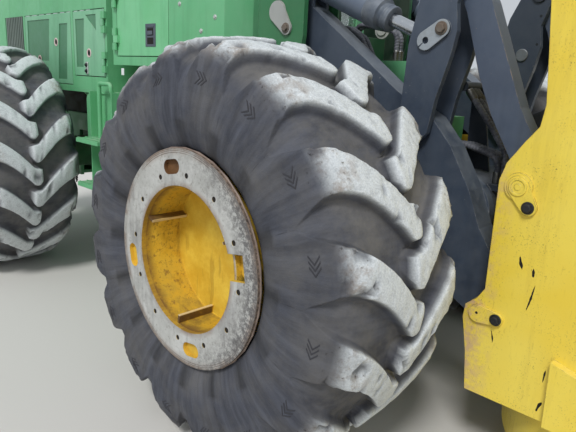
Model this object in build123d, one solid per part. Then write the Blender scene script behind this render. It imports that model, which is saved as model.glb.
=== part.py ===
from build123d import *
import os
from math import atan2, cos, degrees, hypot, pi, radians, sin

# Wheeled feller buncher: +X forward, +Y left, +Z up, millimetres, ground at z = 0

# Overall stance
WHEELBASE = 3250.0
HEAD_REACH = 2400.0
REAR_OVERHANG = 1500.0
FRONT_X = (REAR_OVERHANG + WHEELBASE - HEAD_REACH) / 2
REAR_X = FRONT_X - WHEELBASE
NOSE_X = FRONT_X + HEAD_REACH
JOINT_X = (FRONT_X + REAR_X) / 2

# Tyres and wheels
TYRE_R = 910.0
TYRE_HALF_W = 387.5
TYRE_FLATS = 16
TYRE_BARS = 16
TYRE_BAR_START = -102.1
BAR_H = 72.0
BAR_OVER = 34.0
BAR_TOP_R = TYRE_R - 12.0
SHOULDER_HALF_W = 285.0
AXLE_Z = 910.0
RING_Y = 1540.0
TYRE_Y = 1172.5
RIM_R = 406.0
RIM_WALL = 12.0
RIM_HALF_W = 343.0
RING_R = 462.0
RING_BORE_R = 310.0
RING_T = 20.0
DISH_R = RING_R + 12.0
DISH_HALF_W = RIM_HALF_W - 4.0
RING_BOLT_R = 359.0
RING_BOLT_HOLE_R = 11.0
RING_BOLTS = 12
RING_BOLT_START = -25.3
HAND_HOLE_R = 330.0
HAND_HOLE_SIZE = (64.0, 30.0)
HAND_HOLE_ANGLES = (-10.0, 170.0, 260.0)
NOTCH_ANGLE = 80.0
NOTCH_SIZE = (70.0, 62.0)
DRUM_WALL = 12.0
DISC_Y = 1335.0
DISC_T = 25.0
HUB_R = 210.0
HUB_FLANGE_R = 280.0
HUB_INNER_Y = 800.0
DRUM_RIB = (40.0, 12.0)
DRUM_RIB_ANGLES = (-66.0, -170.0, 62.0)
SPINDLE_R = 90.0
RUNNING_FIT = 0.05
SEAT_GAP = 0.3

# Axles
AXLE_TUBE_R = 140.0
AXLE_BELL_R = 250.0
AXLE_END_Y = 770.0
AXLE_PAD_Z = 1090.0
AXLE_ARCH = 190.0

# Frames
FRAME_HALF_W = 330.0
WAIST_HALF_W = 250.0
FRAME_WALL = 30.0
FRAME_LOW = 640.0
FRAME_TOP = 1250.0
JOINT_GAP = 360.0
JOINT_PIN_R = 55.0
JOINT_EYE_R = 140.0
TONGUE_T = 70.0
FORK_T = 45.0
FORK_GAP = 3.0
FRONT_NOSE = 380.0
DECK_Z = 1500.0
DECK_T = 20.0
DECK_HALF_W = 700.0

# Hood over the engine, x measured from the front axle
REAR_AXLE = -WHEELBASE
TOWER_TO_CAB = 720.0
CAB_LENGTH = 1360.0
HOOD_TO_CAB = 70.0
HOOD_REAR = REAR_AXLE - 1370.0
CAB_REAR = -TOWER_TO_CAB - CAB_LENGTH
HOOD_FRONT = CAB_REAR - HOOD_TO_CAB
HOOD_HALF_W = 700.0
HOOD_TOP = 2560.0
HOOD_WALL = 12.0
HOOD_CORNER = 150.0
DOOR_TOP = 2110.0
DOOR_LOW = 1605.0
DOOR_GAP = 6.0
DOOR_T = 30.0
LOUVRE_REAR = HOOD_REAR + 470.0
LOUVRE_FRONT = LOUVRE_REAR + 440.0
DOOR_REAR = LOUVRE_FRONT + 40.0
DOOR_FRONT = HOOD_FRONT - 30.0
DOOR_SPLIT = DOOR_FRONT - 535.0
SILL = 30.0

# Cab, x measured from the front axle
CAB_FRONT = CAB_REAR + CAB_LENGTH
CAB_SIDE_FRONT = CAB_FRONT - 80.0
CAB_HALF_W = 690.0
CAB_NOSE_HALF_W = 540.0
CAB_LOW = 1700.0
CAB_TOP = 3120.0
CAB_WALL = 45.0
ROOF_T = 110.0
SERVICE_L = 720.0
SERVICE_FRONT = CAB_REAR + SERVICE_L
SERVICE_DROP = 60.0
WINDOW_HEADER = 80.0
WINDOW_TOP = CAB_TOP - WINDOW_HEADER
WINDOW_SILL = 690.0
WINDOW_LOW = WINDOW_TOP - WINDOW_SILL
SERVICE_TOP = WINDOW_LOW - SERVICE_DROP
GLASS_T = 8.0

# Lift linkage, x measured from the front axle: centre plane of each side and pin places
LINK_Y = 465.0
ARM_HALF_T = 65.0
LIFT_PIN = (-424.0, 2003.0)
LEVER_PIN = (430.0, 1450.0)
LEVER_CYL_PIN = (460.0, 1850.0)
LEVER_TOP_PIN = (558.0, 2158.0)
HEAD_TOP_PIN = (986.0, 1295.0)
HEAD_LOW_PIN = (896.0, 737.0)
TILT_BASE_PIN = (-300.0, 2167.0)
LIFT_BASE_PIN = (-450.0, 760.0)
LIFT_ROD_PIN = (-20.0, 1470.0)
CROSS_TUBE = (600.0, 1100.0)
CROSS_TUBE_R = 170.0
PIN_R = 38.0
LEVER_T = 30.0
LEVER_GAP = 15.0
LINK_HALF_T = 45.0
TOWER_OUTER_Y = 600.0
TOWER_T = 30.0
EYE_HALF_T = 35.0
KEEPER_T = 12.0
TOWER_BOLT = (-351.0, 1919.0)
LEVER_BOLT = (532.0, 1899.0)
HEAD_TOP_BOLT = (1035.0, 1221.0)
HEAD_LOW_BOLT = (976.0, 736.0)

# Cylinders
TILT_BARREL_R = 77.0
TILT_ROD_R = 32.0
LIFT_BARREL_R = 70.0
LIFT_ROD_R = 38.0
STEER_BARREL_R = 48.0
STEER_ROD_R = 25.0

# Felling head, x measured from the front axle
HEAD_OUT_Y = 665.0
HEAD_PLATE_T = 25.0
GUARD_OUT = 38.0
HEAD_BACK_X = 1110.0
HEAD_FACE_X = 1400.0
HEAD_TOP = 2450.0
DISC_R = 700.0
DISC_Z = 215.0
DISC_PLATE_T = 25.0
SAW_SPINDLE_R = 60.0
HOUSING_R = 765.0
HOUSING_LOW = 120.0
HOUSING_TOP = 375.0
HEAD_LOW = HOUSING_TOP
HOUSING_WALL = 20.0
HOUSING_LIP = 70.0
SAW_X = HEAD_REACH - HOUSING_LIP - DISC_R
ARM_PIN = (1485.0, 590.0)
ARM_REACH_R = 470.0
ARM_PLATE_T = 70.0
CLAMP_Z = 930.0
ACCUMULATOR_Z = 1450.0

os.makedirs("parts", exist_ok=True)


def write(shape, node):
    export_step(shape, "parts/" + node + ".step")


def block(x0, x1, y0, y1, z0, z1):
    """A box between two corners, x measured from the front axle."""
    centre = ((x0 + x1) / 2 + FRONT_X, (y0 + y1) / 2, (z0 + z1) / 2)
    return Pos(*centre) * Box(abs(x1 - x0), abs(y1 - y0), abs(z1 - z0))


def outline(points):
    """A flat face in the side view through (x, z) points, x measured from the front axle."""
    return make_face(Polyline(*[(x + FRONT_X, z) for x, z in points], close=True))


def spot(pin, radius):
    """A round face in the side view about a pin."""
    return Pos(pin[0] + FRONT_X, pin[1]) * Circle(radius)


def slab(face, y0, y1):
    """A side view face made solid from y0 to y1."""
    low, high = sorted((y0, y1))
    return extrude(Plane.XZ.offset(-high) * face, amount=high - low)


def plan(face, z0, z1):
    """A top view face made solid from z0 to z1."""
    return extrude(Pos(0, 0, z0) * face, amount=z1 - z0)


def bar_y(pin, radius, y0, y1):
    """A round bar along Y about a side view pin."""
    return slab(spot(pin, radius), y0, y1)


def bar(start, end, radius):
    """A round bar between two points, x measured from the front axle."""
    a = Vector(start[0] + FRONT_X, start[1], start[2])
    b = Vector(end[0] + FRONT_X, end[1], end[2])
    return extrude(Plane(origin=a, z_dir=b - a) * Circle(radius), amount=(b - a).length)


def both(shape):
    """The piece of the left side together with its mirror image on the right."""
    return [shape, mirror(shape, about=Plane.XZ)]


def along(start, end, distance):
    """The side view point at a distance from start towards end."""
    share = distance / hypot(end[0] - start[0], end[1] - start[1])
    return (start[0] + (end[0] - start[0]) * share, start[1] + (end[1] - start[1]) * share)


def bar_xz(start, end, radius, y):
    """A round bar in the side view plane at y."""
    return bar((start[0], y, start[1]), (end[0], y, end[1]), radius)


def keeper(pin, bolt, pin_r, bolt_r, y0, y1):
    """A keeper plate over a pin's end: two round ends about the pin and its bolt, joined by tangents."""
    lean = atan2(bolt[1] - pin[1], bolt[0] - pin[0])
    side = (sin(lean), -cos(lean))
    strip = outline([
        (pin[0] + side[0] * pin_r, pin[1] + side[1] * pin_r),
        (bolt[0] + side[0] * bolt_r, bolt[1] + side[1] * bolt_r),
        (bolt[0] - side[0] * bolt_r, bolt[1] - side[1] * bolt_r),
        (pin[0] - side[0] * pin_r, pin[1] - side[1] * pin_r),
    ])
    return slab(strip + spot(pin, pin_r) + spot(bolt, bolt_r), y0, y1)


def wheel_place(shape, x, side):
    """A wheel made about the Z axis, outer side up, in its place on the right or mirrored on the left."""
    right = Pos(x, 0, AXLE_Z) * Rot(90, 0, 0) * shape
    return right if side < 0 else mirror(right, about=Plane.XZ)


# Tyres, made about the Z axis with the outer side up, the ring face at RING_Y: a flat-sided
# carcass and two rows of bars that run from the middle over the shoulder, half a pitch apart

CARCASS = [
    # place along the axle from the tyre's middle, radius
    (-TYRE_HALF_W, TYRE_R - 300),
    (-TYRE_HALF_W + 8, TYRE_R - 175),
    (-SHOULDER_HALF_W, TYRE_R - BAR_H),
    (SHOULDER_HALF_W, TYRE_R - BAR_H),
    (TYRE_HALF_W - 8, TYRE_R - 175),
    (TYRE_HALF_W, TYRE_R - 300),
]
BAR_PLAN = [
    # place along the axle from the tyre's middle, distance round the tread, half width
    (-BAR_OVER, 135.0, 45.0),
    (190.0, -30.0, 56.0),
    (TYRE_HALF_W + 1, -110.0, 105.0),
]
BAR_LEAN = degrees(110.0 / TYRE_R)
BAR_LOW_R = TYRE_R - 172


def carcass_ring(radius, place):
    return Pos(0, 0, place) * RegularPolygon(radius, TYRE_FLATS)


def tyre_carcass():
    body = loft([carcass_ring(radius, place) for place, radius in CARCASS], ruled=True)
    flat = cos(pi / TYRE_FLATS)
    bead = (RIM_R + SEAT_GAP) / flat
    for side in (1, -1):
        mouth = carcass_ring(TYRE_R - 310, side * TYRE_HALF_W)
        body -= loft([mouth, carcass_ring(DISH_R / flat, side * DISH_HALF_W)], ruled=True)
    return body - extrude(carcass_ring(bead, -RIM_HALF_W), amount=2 * RIM_HALF_W)


def tyre_bar():
    """One bar of the outer row: its plan raised outward, with its outer end bevelled to the side wall."""
    left = [(distance - half, place) for place, distance, half in BAR_PLAN]
    right = [(distance + half, place) for place, distance, half in reversed(BAR_PLAN)]
    base = Plane(origin=(0, BAR_LOW_R, 0), x_dir=(1, 0, 0), z_dir=(0, 1, 0))
    outline_face = make_face(Polyline(*[(x, -z) for x, z in left + right], close=True))
    bar = extrude(base * outline_face, amount=BAR_TOP_R - BAR_LOW_R)
    bevel = Polyline((BAR_TOP_R + 1, SHOULDER_HALF_W + 10), (BAR_TOP_R + 1, TYRE_HALF_W + 2),
                     (BAR_LOW_R, TYRE_HALF_W + 2), (BAR_LOW_R, TYRE_HALF_W - 2), close=True)
    wedge = extrude(Plane.YZ.offset(-TYRE_HALF_W) * make_face(bevel), amount=2 * TYRE_HALF_W)
    return bar - wedge


def tyre():
    outer = tyre_bar()
    inner = Rot(0, 0, -180 / TYRE_BARS) * mirror(outer, about=Plane.XY)
    body = tyre_carcass()
    bars = []
    for k in range(TYRE_BARS):
        turn = Rot(0, 0, -360 / TYRE_BARS * k - TYRE_BAR_START - BAR_LEAN)
        bars += [turn * outer, turn * inner]
    return Pos(0, 0, TYRE_Y) * body.fuse(*bars)


def ring_body(outer, inner, y0, y1):
    return Pos(0, 0, y0) * (Cylinder(outer, y1 - y0, align=(Align.CENTER, Align.CENTER, Align.MIN))
                            - Cylinder(inner, y1 - y0, align=(Align.CENTER, Align.CENTER, Align.MIN)))


def rim():
    inner_edge = TYRE_Y - RIM_HALF_W
    ring_back = RING_Y - RING_T
    ring = ring_body(RING_R, RING_BORE_R, ring_back, RING_Y)
    for k in range(RING_BOLTS):
        angle = RING_BOLT_START + 360 / RING_BOLTS * k
        hole = Pos(0, RING_BOLT_R, RING_Y) * Cylinder(RING_BOLT_HOLE_R, 4 * RING_T)
        ring -= Rot(0, 0, -angle) * hole
    for angle in HAND_HOLE_ANGLES:
        hole = extrude(Pos(0, HAND_HOLE_R + 45) * SlotOverall(*HAND_HOLE_SIZE), amount=4 * RING_T)
        ring -= Rot(0, 0, -angle) * Pos(0, 0, RING_Y - 2 * RING_T) * hole
    notch = Pos(0, RING_BORE_R + NOTCH_SIZE[1] / 2 - 6, RING_Y) * Box(*NOTCH_SIZE, 4 * RING_T)
    ring -= Rot(0, 0, -NOTCH_ANGLE) * notch
    barrel = ring_body(RIM_R, RIM_R - RIM_WALL, inner_edge, ring_back)
    lip = ring_body(RIM_R + 30, RIM_R - RIM_WALL, inner_edge - 20, inner_edge)
    drum = ring_body(RING_BORE_R + DRUM_WALL, RING_BORE_R, DISC_Y - DISC_T, ring_back)
    disc = Pos(0, 0, DISC_Y - DISC_T) * Cylinder(RIM_R - RIM_WALL + 1, DISC_T,
                                                 align=(Align.CENTER, Align.CENTER, Align.MIN))
    flange = ring_body(HUB_FLANGE_R, SPINDLE_R + RUNNING_FIT, DISC_Y - DISC_T - 28, DISC_Y - DISC_T)
    hub = ring_body(HUB_R, SPINDLE_R + RUNNING_FIT, HUB_INNER_Y, DISC_Y - DISC_T)
    body = ring + barrel + lip + drum + disc + flange + hub
    for angle in DRUM_RIB_ANGLES:
        height, thick = DRUM_RIB
        rib = Pos(0, RING_BORE_R - height / 2 + 1, DISC_Y - 1) * Box(
            thick, height + 2, ring_back - DISC_Y + 2, align=(Align.CENTER, Align.CENTER, Align.MIN))
        body += Rot(0, 0, -angle) * rib
    return body


WHEELS = [
    # name, axle x, side
    ("front_right", FRONT_X, -1),
    ("front_left", FRONT_X, 1),
    ("rear_right", REAR_X, -1),
    ("rear_left", REAR_X, 1),
]
tyre_shape = tyre()
rim_shape = rim()
for name, x, side in WHEELS:
    axle_x = x - FRONT_X
    ground = block(axle_x - TYRE_R, axle_x + TYRE_R, 0, side * 2 * RING_Y, -BAR_H, 0)
    write(wheel_place(tyre_shape, x, side) - ground, "tyre_" + name)
    write(wheel_place(rim_shape, x, side), "rim_" + name)


# Axles with pads under the frame, planet-side spindles and the differential bell

def axle(x):
    spindle_end = DISC_Y - DISC_T - 5
    body = bar_y((x, AXLE_Z), AXLE_TUBE_R, -AXLE_END_Y, AXLE_END_Y)
    body += Pos(x + FRONT_X, 0, AXLE_Z) * Sphere(AXLE_BELL_R)
    body += bar_y((x, AXLE_Z), SPINDLE_R, -spindle_end, spindle_end)
    for pad in both(block(x - 120, x + 120, FRAME_HALF_W - 90, FRAME_HALF_W, AXLE_Z, AXLE_PAD_Z)):
        body += pad
    return body


write(axle(0), "front_axle")
write(axle(-WHEELBASE), "rear_axle")


# Rear frame: a deep open box with forks for the articulation and a deck for hood and cab

def frame_box(x0, x1, axle_x):
    box = block(x0, x1, -FRAME_HALF_W, FRAME_HALF_W, FRAME_LOW, FRAME_TOP)
    inner_y = FRAME_HALF_W - FRAME_WALL
    box -= block(x0 + FRAME_WALL, x1 - FRAME_WALL, -inner_y, inner_y, FRAME_LOW + FRAME_WALL, FRAME_TOP + 1)
    box -= block(axle_x - AXLE_BELL_R - 20, axle_x + AXLE_BELL_R + 20, -inner_y, inner_y,
                 FRAME_LOW - 1, FRAME_TOP)
    half = 2 * FRAME_HALF_W
    box -= block(axle_x - AXLE_ARCH, axle_x + AXLE_ARCH, -half, half, FRAME_LOW - 1, AXLE_PAD_Z)
    return box


def joint_plate(x_root, half_root, z0, z1):
    """A hinge plate that narrows from the frame's end to a round eye on the articulation."""
    joint = (JOINT_X - FRONT_X, 0)
    face = make_face(Polyline((x_root + FRONT_X, -half_root), (JOINT_X, -JOINT_EYE_R),
                              (JOINT_X, JOINT_EYE_R), (x_root + FRONT_X, half_root), close=True))
    return plan(face + Pos(joint[0] + FRONT_X, 0) * Circle(JOINT_EYE_R), z0, z1)


JOINT = JOINT_X - FRONT_X
STEER_BASE = (JOINT - 950.0, 420.0)
STEER_EYE = (JOINT + 200.0, 420.0)
STEER_Z = 945.0
STEER_EYE_R = 45.0
STEER_EYE_T = 56.0
STEER_PIN_R = 28.0
REAR_FRAME_END = JOINT - JOINT_GAP
FRONT_FRAME_END = JOINT + JOINT_GAP
TONGUE_PLACES = [
    # lowest z of the tongue, z above the ground
    FRAME_LOW + 60,
    FRAME_TOP - 60 - TONGUE_T,
]
frame_rear = -WHEELBASE - REAR_OVERHANG + 280

waist = (STEER_BASE[0] + 110, REAR_FRAME_END)
rear_frame = frame_box(frame_rear, waist[0], -WHEELBASE)
waist_box = block(waist[0] - FRAME_WALL, waist[1], -WAIST_HALF_W, WAIST_HALF_W, FRAME_LOW, FRAME_TOP)
waist_box -= block(waist[0], waist[1] - FRAME_WALL, FRAME_WALL - WAIST_HALF_W, WAIST_HALF_W - FRAME_WALL,
                   FRAME_LOW + FRAME_WALL, FRAME_TOP + 1)
rear_frame += waist_box
for z in TONGUE_PLACES:
    for low in (z - FORK_GAP - FORK_T, z + TONGUE_T + FORK_GAP):
        rear_frame += joint_plate(REAR_FRAME_END - 1, WAIST_HALF_W, low, low + FORK_T)
    rear_frame += plan(Pos(JOINT_X, 0) * Circle(JOINT_PIN_R), z - FORK_T, z + TONGUE_T + FORK_T)


def steer_bracket(pin, root_x, gap):
    """Two ears above and below a steering cylinder eye, standing out from the frame's side."""
    ears = []
    for side in (1, -1):
        for low in (STEER_Z - STEER_EYE_T / 2 - gap - 25, STEER_Z + STEER_EYE_T / 2 + gap):
            ear = plan(Pos(pin[0] + FRONT_X, side * pin[1]) * Circle(60), low, low + 25)
            ear += block(min(pin[0] - 60, root_x), max(pin[0] + 60, root_x),
                         side * (FRAME_HALF_W - 2), side * pin[1], low, low + 25)
            ears.append(ear)
    return ears


for ear in steer_bracket(STEER_BASE, STEER_BASE[0], 2):
    rear_frame += ear
for side in (1, -1):
    rear_frame += plan(Pos(STEER_BASE[0] + FRONT_X, side * STEER_BASE[1]) * Circle(STEER_PIN_R),
                       STEER_Z - 75, STEER_Z + 75)
DECK_OPEN_HALF_W = 340.0
ENGINE = (REAR_AXLE - 700, REAR_AXLE + 600, 300.0, 1260.0, 2120.0)
deck = block(frame_rear, CAB_SIDE_FRONT, -DECK_HALF_W, DECK_HALF_W, DECK_Z - DECK_T, DECK_Z)
deck -= block(ENGINE[0] - 30, ENGINE[1] + 30, -DECK_OPEN_HALF_W, DECK_OPEN_HALF_W,
              DECK_Z - DECK_T - 1, DECK_Z + 1)
rear_frame += deck
CROSS_PLATES = [HOOD_REAR + 180, REAR_AXLE + 690, CAB_REAR + 30]
CROSS_LOW = FRAME_TOP - 60
for x in CROSS_PLATES:
    face = make_face(Polyline((-DECK_HALF_W, DECK_Z - DECK_T), (-FRAME_HALF_W, CROSS_LOW),
                              (FRAME_HALF_W, CROSS_LOW), (DECK_HALF_W, DECK_Z - DECK_T), close=True))
    rear_frame += extrude(Plane.YZ.offset(x + FRONT_X) * face, amount=25)
stub_front = CAB_FRONT - 655
rear_frame += block(stub_front - 25, stub_front, -300, 300, 1330, DECK_Z - DECK_T)
for side in (1, -1):
    rear_frame += block(CROSS_PLATES[2], stub_front, side * 270, side * 300, 1330, DECK_Z - DECK_T)
write(rear_frame, "rear_frame")

weight = block(-WHEELBASE - REAR_OVERHANG, frame_rear, -660, 660, 560, DECK_Z - DECK_T)
weight = fillet(weight.edges().filter_by(Axis.Z).group_by(Axis.X)[0], 90)
write(weight, "counterweight")

engine = block(ENGINE[0], ENGINE[1], -ENGINE[2] + SEAT_GAP, ENGINE[2] - SEAT_GAP, ENGINE[3] - 200, ENGINE[4])
ENGINE_ARCH = AXLE_BELL_R + 30
engine -= block(REAR_AXLE - ENGINE_ARCH, REAR_AXLE + ENGINE_ARCH, -ENGINE[2] - 10, ENGINE[2] + 10,
                ENGINE[3] - 260, ENGINE[3] - 60)
write(engine, "engine_block")


# Front frame, tower for the lift arms

front_frame = frame_box(FRONT_FRAME_END, FRONT_NOSE, 0)
for z in TONGUE_PLACES:
    tongue = joint_plate(FRONT_FRAME_END + 1, 240, z, z + TONGUE_T)
    tongue -= plan(Pos(JOINT_X, 0) * Circle(JOINT_PIN_R + RUNNING_FIT), z - 1, z + TONGUE_T + 1)
    front_frame += tongue
for ear in steer_bracket(STEER_EYE, FRONT_FRAME_END + 60, 6):
    front_frame += ear
write(front_frame, "front_frame")

FRONT_DECK_TOP = FRAME_TOP + 25
FRONT_BLOCK_TOP = FRONT_DECK_TOP + 505
FRONT_BLOCK_X = (-60.0, 150.0)
FRONT_BLOCK_HALF_W = 230.0
front_deck = block(-560, 300, -FRAME_HALF_W, FRAME_HALF_W, FRAME_TOP + SEAT_GAP, FRONT_DECK_TOP)
front_deck += block(*FRONT_BLOCK_X, -FRONT_BLOCK_HALF_W, FRONT_BLOCK_HALF_W,
                    FRONT_DECK_TOP - 1, FRONT_BLOCK_TOP)
front_deck += block(FRONT_BLOCK_X[1] - 1, 300, -180, 180, FRONT_DECK_TOP - 1, FRONT_DECK_TOP + 225)
write(front_deck, "front_deck")

TOWER_REAR = -575.0
tower_outline = outline([
    (TOWER_REAR, 650), (TOWER_REAR, 2280), (TOWER_REAR + 60, 2340), (-300, 2340), (-235, 2200),
    (-235, 1880), (-300, 1500), (-300, 900), (-330, 650),
])
tower = slab(tower_outline, TOWER_OUTER_Y, TOWER_OUTER_Y + TOWER_T)
tower += slab(tower_outline, FRAME_HALF_W, FRAME_HALF_W + TOWER_T)
tower += block(TOWER_REAR - 25, TOWER_REAR + 1, FRAME_HALF_W, TOWER_OUTER_Y + TOWER_T, 650, 1700)
tower += block(TOWER_REAR, -300, FRAME_HALF_W, TOWER_OUTER_Y + TOWER_T, 640, 665)
tower -= bar_y(LIFT_PIN, PIN_R + 20 + RUNNING_FIT, TOWER_OUTER_Y - 1, TOWER_OUTER_Y + TOWER_T + 1)
tower -= bar_y(LIFT_PIN, PIN_R + 20 + RUNNING_FIT, FRAME_HALF_W - 1, FRAME_HALF_W + TOWER_T + 1)
tower += bar_y(LIFT_BASE_PIN, PIN_R, FRAME_HALF_W, TOWER_OUTER_Y + TOWER_T + 12)
towers = both(tower)
TOWER_CROSS_X = -395.0
cross = block(TOWER_CROSS_X - 25, TOWER_CROSS_X, -FRAME_HALF_W - 1, FRAME_HALF_W + 1, FRONT_DECK_TOP, 1940)
lift_tower = towers[0] + towers[1] + cross
write(lift_tower, "lift_tower")


# Engine hood: a rounded shell with door, louvre and rear openings

def hood_section(inset):
    width = 2 * (HOOD_HALF_W - inset)
    height = HOOD_TOP - DECK_Z - inset
    face = Pos(0, DECK_Z + height / 2) * Rectangle(width, height)
    top = face.vertices().group_by(Axis.Y)[-1]
    return fillet(top, HOOD_CORNER - inset)


hood = extrude(Plane.YZ.offset(HOOD_REAR + FRONT_X) * hood_section(0), amount=HOOD_FRONT - HOOD_REAR)
hollow = extrude(Plane.YZ.offset(HOOD_REAR + HOOD_WALL + FRONT_X) * hood_section(HOOD_WALL),
                 amount=HOOD_FRONT - HOOD_REAR - 2 * HOOD_WALL)
hood -= hollow
SIDE_OPENINGS = [
    # rear x, front x, low z
    (LOUVRE_REAR, LOUVRE_FRONT, DECK_Z + SILL),
    (DOOR_REAR, DOOR_SPLIT - 20, DECK_Z + SILL),
    (DOOR_SPLIT + 20, DOOR_FRONT, DOOR_LOW),
]
for x0, x1, low in SIDE_OPENINGS:
    hood -= block(x0, x1, -HOOD_HALF_W - 1, HOOD_HALF_W + 1, low, DOOR_TOP - DOOR_GAP)
hood -= block(HOOD_REAR - 1, HOOD_REAR + HOOD_WALL + 1, -560, 560, DECK_Z + 80, HOOD_TOP - 180)


# Grilles: upright bars in a frame, at both hood sides and at the rear

def louvre_side(side):
    y0 = side * (HOOD_HALF_W - 30)
    y1 = side * HOOD_HALF_W
    clear = SEAT_GAP
    low = DECK_Z + SILL + clear
    high = DOOR_TOP - DOOR_GAP - clear
    panel = block(LOUVRE_REAR + clear, LOUVRE_FRONT - clear, y0, y0 + side * 8, low, high)
    for k in range(10):
        x = LOUVRE_REAR + 25 + k * 41
        panel += block(x, x + 20, y0, y1, low, high)
    return panel


write(Compound(children=[louvre_side(1), louvre_side(-1)]), "side_louvres")

rear_grille = block(HOOD_REAR, HOOD_REAR + 10, -559.7, 559.7, DECK_Z + 80.3, HOOD_TOP - 180.3)
rear_grille -= block(HOOD_REAR - 1, HOOD_REAR + 11, -520, 520, DECK_Z + 120, HOOD_TOP - 220)
for k in range(14):
    y = -500 + k * 1000 / 13
    rear_grille += block(HOOD_REAR, HOOD_REAR + 10, y - 11, y + 11, DECK_Z + 110, HOOD_TOP - 210)
write(rear_grille, "rear_grille")


# Doors: a flat skin with a turned-in rim, hinged at one upright edge on pins with knuckles

HINGE_PIN_R = 8.0
HINGE_KNUCKLE_R = 14.0
HINGE_OUT = 16.0
KNUCKLE_L = 50.0


def upright_bar(x, y, radius, z0, z1):
    return plan(Pos(x + FRONT_X, y) * Circle(radius), z0, z1)


def hinge(x, wall_y, side, toward, heights):
    """Two leaves of a hinge on an upright axis: the fixed one with its pin, and the door's."""
    y = wall_y + side * HINGE_OUT
    fixed = []
    moving = []
    for z in heights:
        half = KNUCKLE_L / 2
        pin = upright_bar(x, y, HINGE_PIN_R, z - 1.5 * KNUCKLE_L, z + 1.5 * KNUCKLE_L)
        for low in (z - half - 1 - KNUCKLE_L, z + half + 1):
            pin += upright_bar(x, y, HINGE_KNUCKLE_R, low, low + KNUCKLE_L)
            pin += block(x - toward * 34, x, wall_y - side, y + side * 6, low, low + KNUCKLE_L)
        fixed.append(pin)
        leaf = upright_bar(x, y, HINGE_KNUCKLE_R, z - half, z + half)
        leaf += block(x, x + toward * 34, wall_y - side, y + side * 6, z - half, z + half)
        leaf -= upright_bar(x, y, HINGE_PIN_R + RUNNING_FIT, z - half - 1, z + half + 1)
        moving.append(leaf)
    return fixed, moving

def door(x0, x1, z0, z1, y, side):
    skin = block(x0, x1, y, y - side * DOOR_T, z0, z1)
    skin -= block(x0 + 12, x1 - 12, y - side * 8, y - side * (DOOR_T + 1), z0 + 12, z1 - 12)
    return skin


HINGE_HEIGHTS = (DOOR_LOW + 110, DOOR_TOP - 110)
PRESSED = 5.0


def pressing(points, wall_y, side):
    """A shallow recess pressed into a skin, from its (x, z) outline."""
    return slab(outline(points), wall_y - side * PRESSED, wall_y + side)


DOOR_HINGE_X = DOOR_FRONT - DOOR_GAP / 2
TAB = 18.0
for side_name, side in (("right", -1), ("left", 1)):
    wall_y = side * HOOD_HALF_W
    panel = door(DOOR_SPLIT + 20 + DOOR_GAP, DOOR_FRONT - DOOR_GAP, DOOR_LOW + DOOR_GAP,
                 DOOR_TOP - 2 * DOOR_GAP, wall_y, side)
    fixed, moving = hinge(DOOR_HINGE_X, wall_y, side, -1, HINGE_HEIGHTS)
    for leaf in fixed:
        hood += leaf
    for leaf in moving:
        panel += leaf
    door_low = DOOR_LOW + 70
    panel -= pressing([(DOOR_SPLIT + 60, door_low), (DOOR_SPLIT + 60, DOOR_TOP - 70),
                       (DOOR_SPLIT + 210, DOOR_TOP - 70), (DOOR_SPLIT + 175, door_low)], wall_y, side)
    panel -= pressing([(DOOR_SPLIT + 235, DOOR_TOP - 45), (DOOR_SPLIT + 400, DOOR_TOP - 45),
                       (DOOR_SPLIT + 400, DOOR_TOP - 165)], wall_y, side)
    write(panel, "engine_door_" + side_name)
    shield_x = (DOOR_REAR + DOOR_GAP, DOOR_SPLIT - 20 - DOOR_GAP)
    shield = door(shield_x[0], shield_x[1], DECK_Z + SILL + DOOR_GAP, DOOR_TOP - 2 * DOOR_GAP, wall_y, side)
    shield -= pressing([(DOOR_REAR + 45, DECK_Z + 215), (DOOR_REAR + 60, DOOR_TOP - 50),
                        (DOOR_REAR + 530, DOOR_TOP - 50), (DOOR_REAR + 485, DECK_Z + 215)], wall_y, side)
    shield -= pressing([(DOOR_SPLIT - 290, DECK_Z + 70), (DOOR_SPLIT - 235, DOOR_TOP - 95),
                        (DOOR_SPLIT - 85, DOOR_TOP - 95), (DOOR_SPLIT - 130, DECK_Z + 70)], wall_y, side)
    back_y = wall_y - side * (HOOD_WALL + SEAT_GAP)
    for z in (DECK_Z + 120, DOOR_TOP - 120):
        shield += block(shield_x[0] - TAB, shield_x[0] + 6, back_y, wall_y - side * DOOR_T, z - 30, z + 30)
        shield += block(shield_x[1] - 6, shield_x[1] + TAB, back_y, wall_y - side * DOOR_T, z - 30, z + 30)
    write(shield, "engine_shield_" + side_name)
write(hood, "hood")


# Cab: a shell narrowed at the front, on rubber mounts, with cut windows, door and service door

def cab_face(inset):
    rear = CAB_REAR + FRONT_X + inset
    half = CAB_HALF_W - inset
    nose = CAB_NOSE_HALF_W - inset * 0.7
    side_front = CAB_SIDE_FRONT + FRONT_X - inset * 0.7
    front = CAB_FRONT + FRONT_X - inset
    return make_face(Polyline((rear, -half), (side_front, -half), (front, -nose), (front, nose),
                              (side_front, half), (rear, half), close=True))


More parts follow.
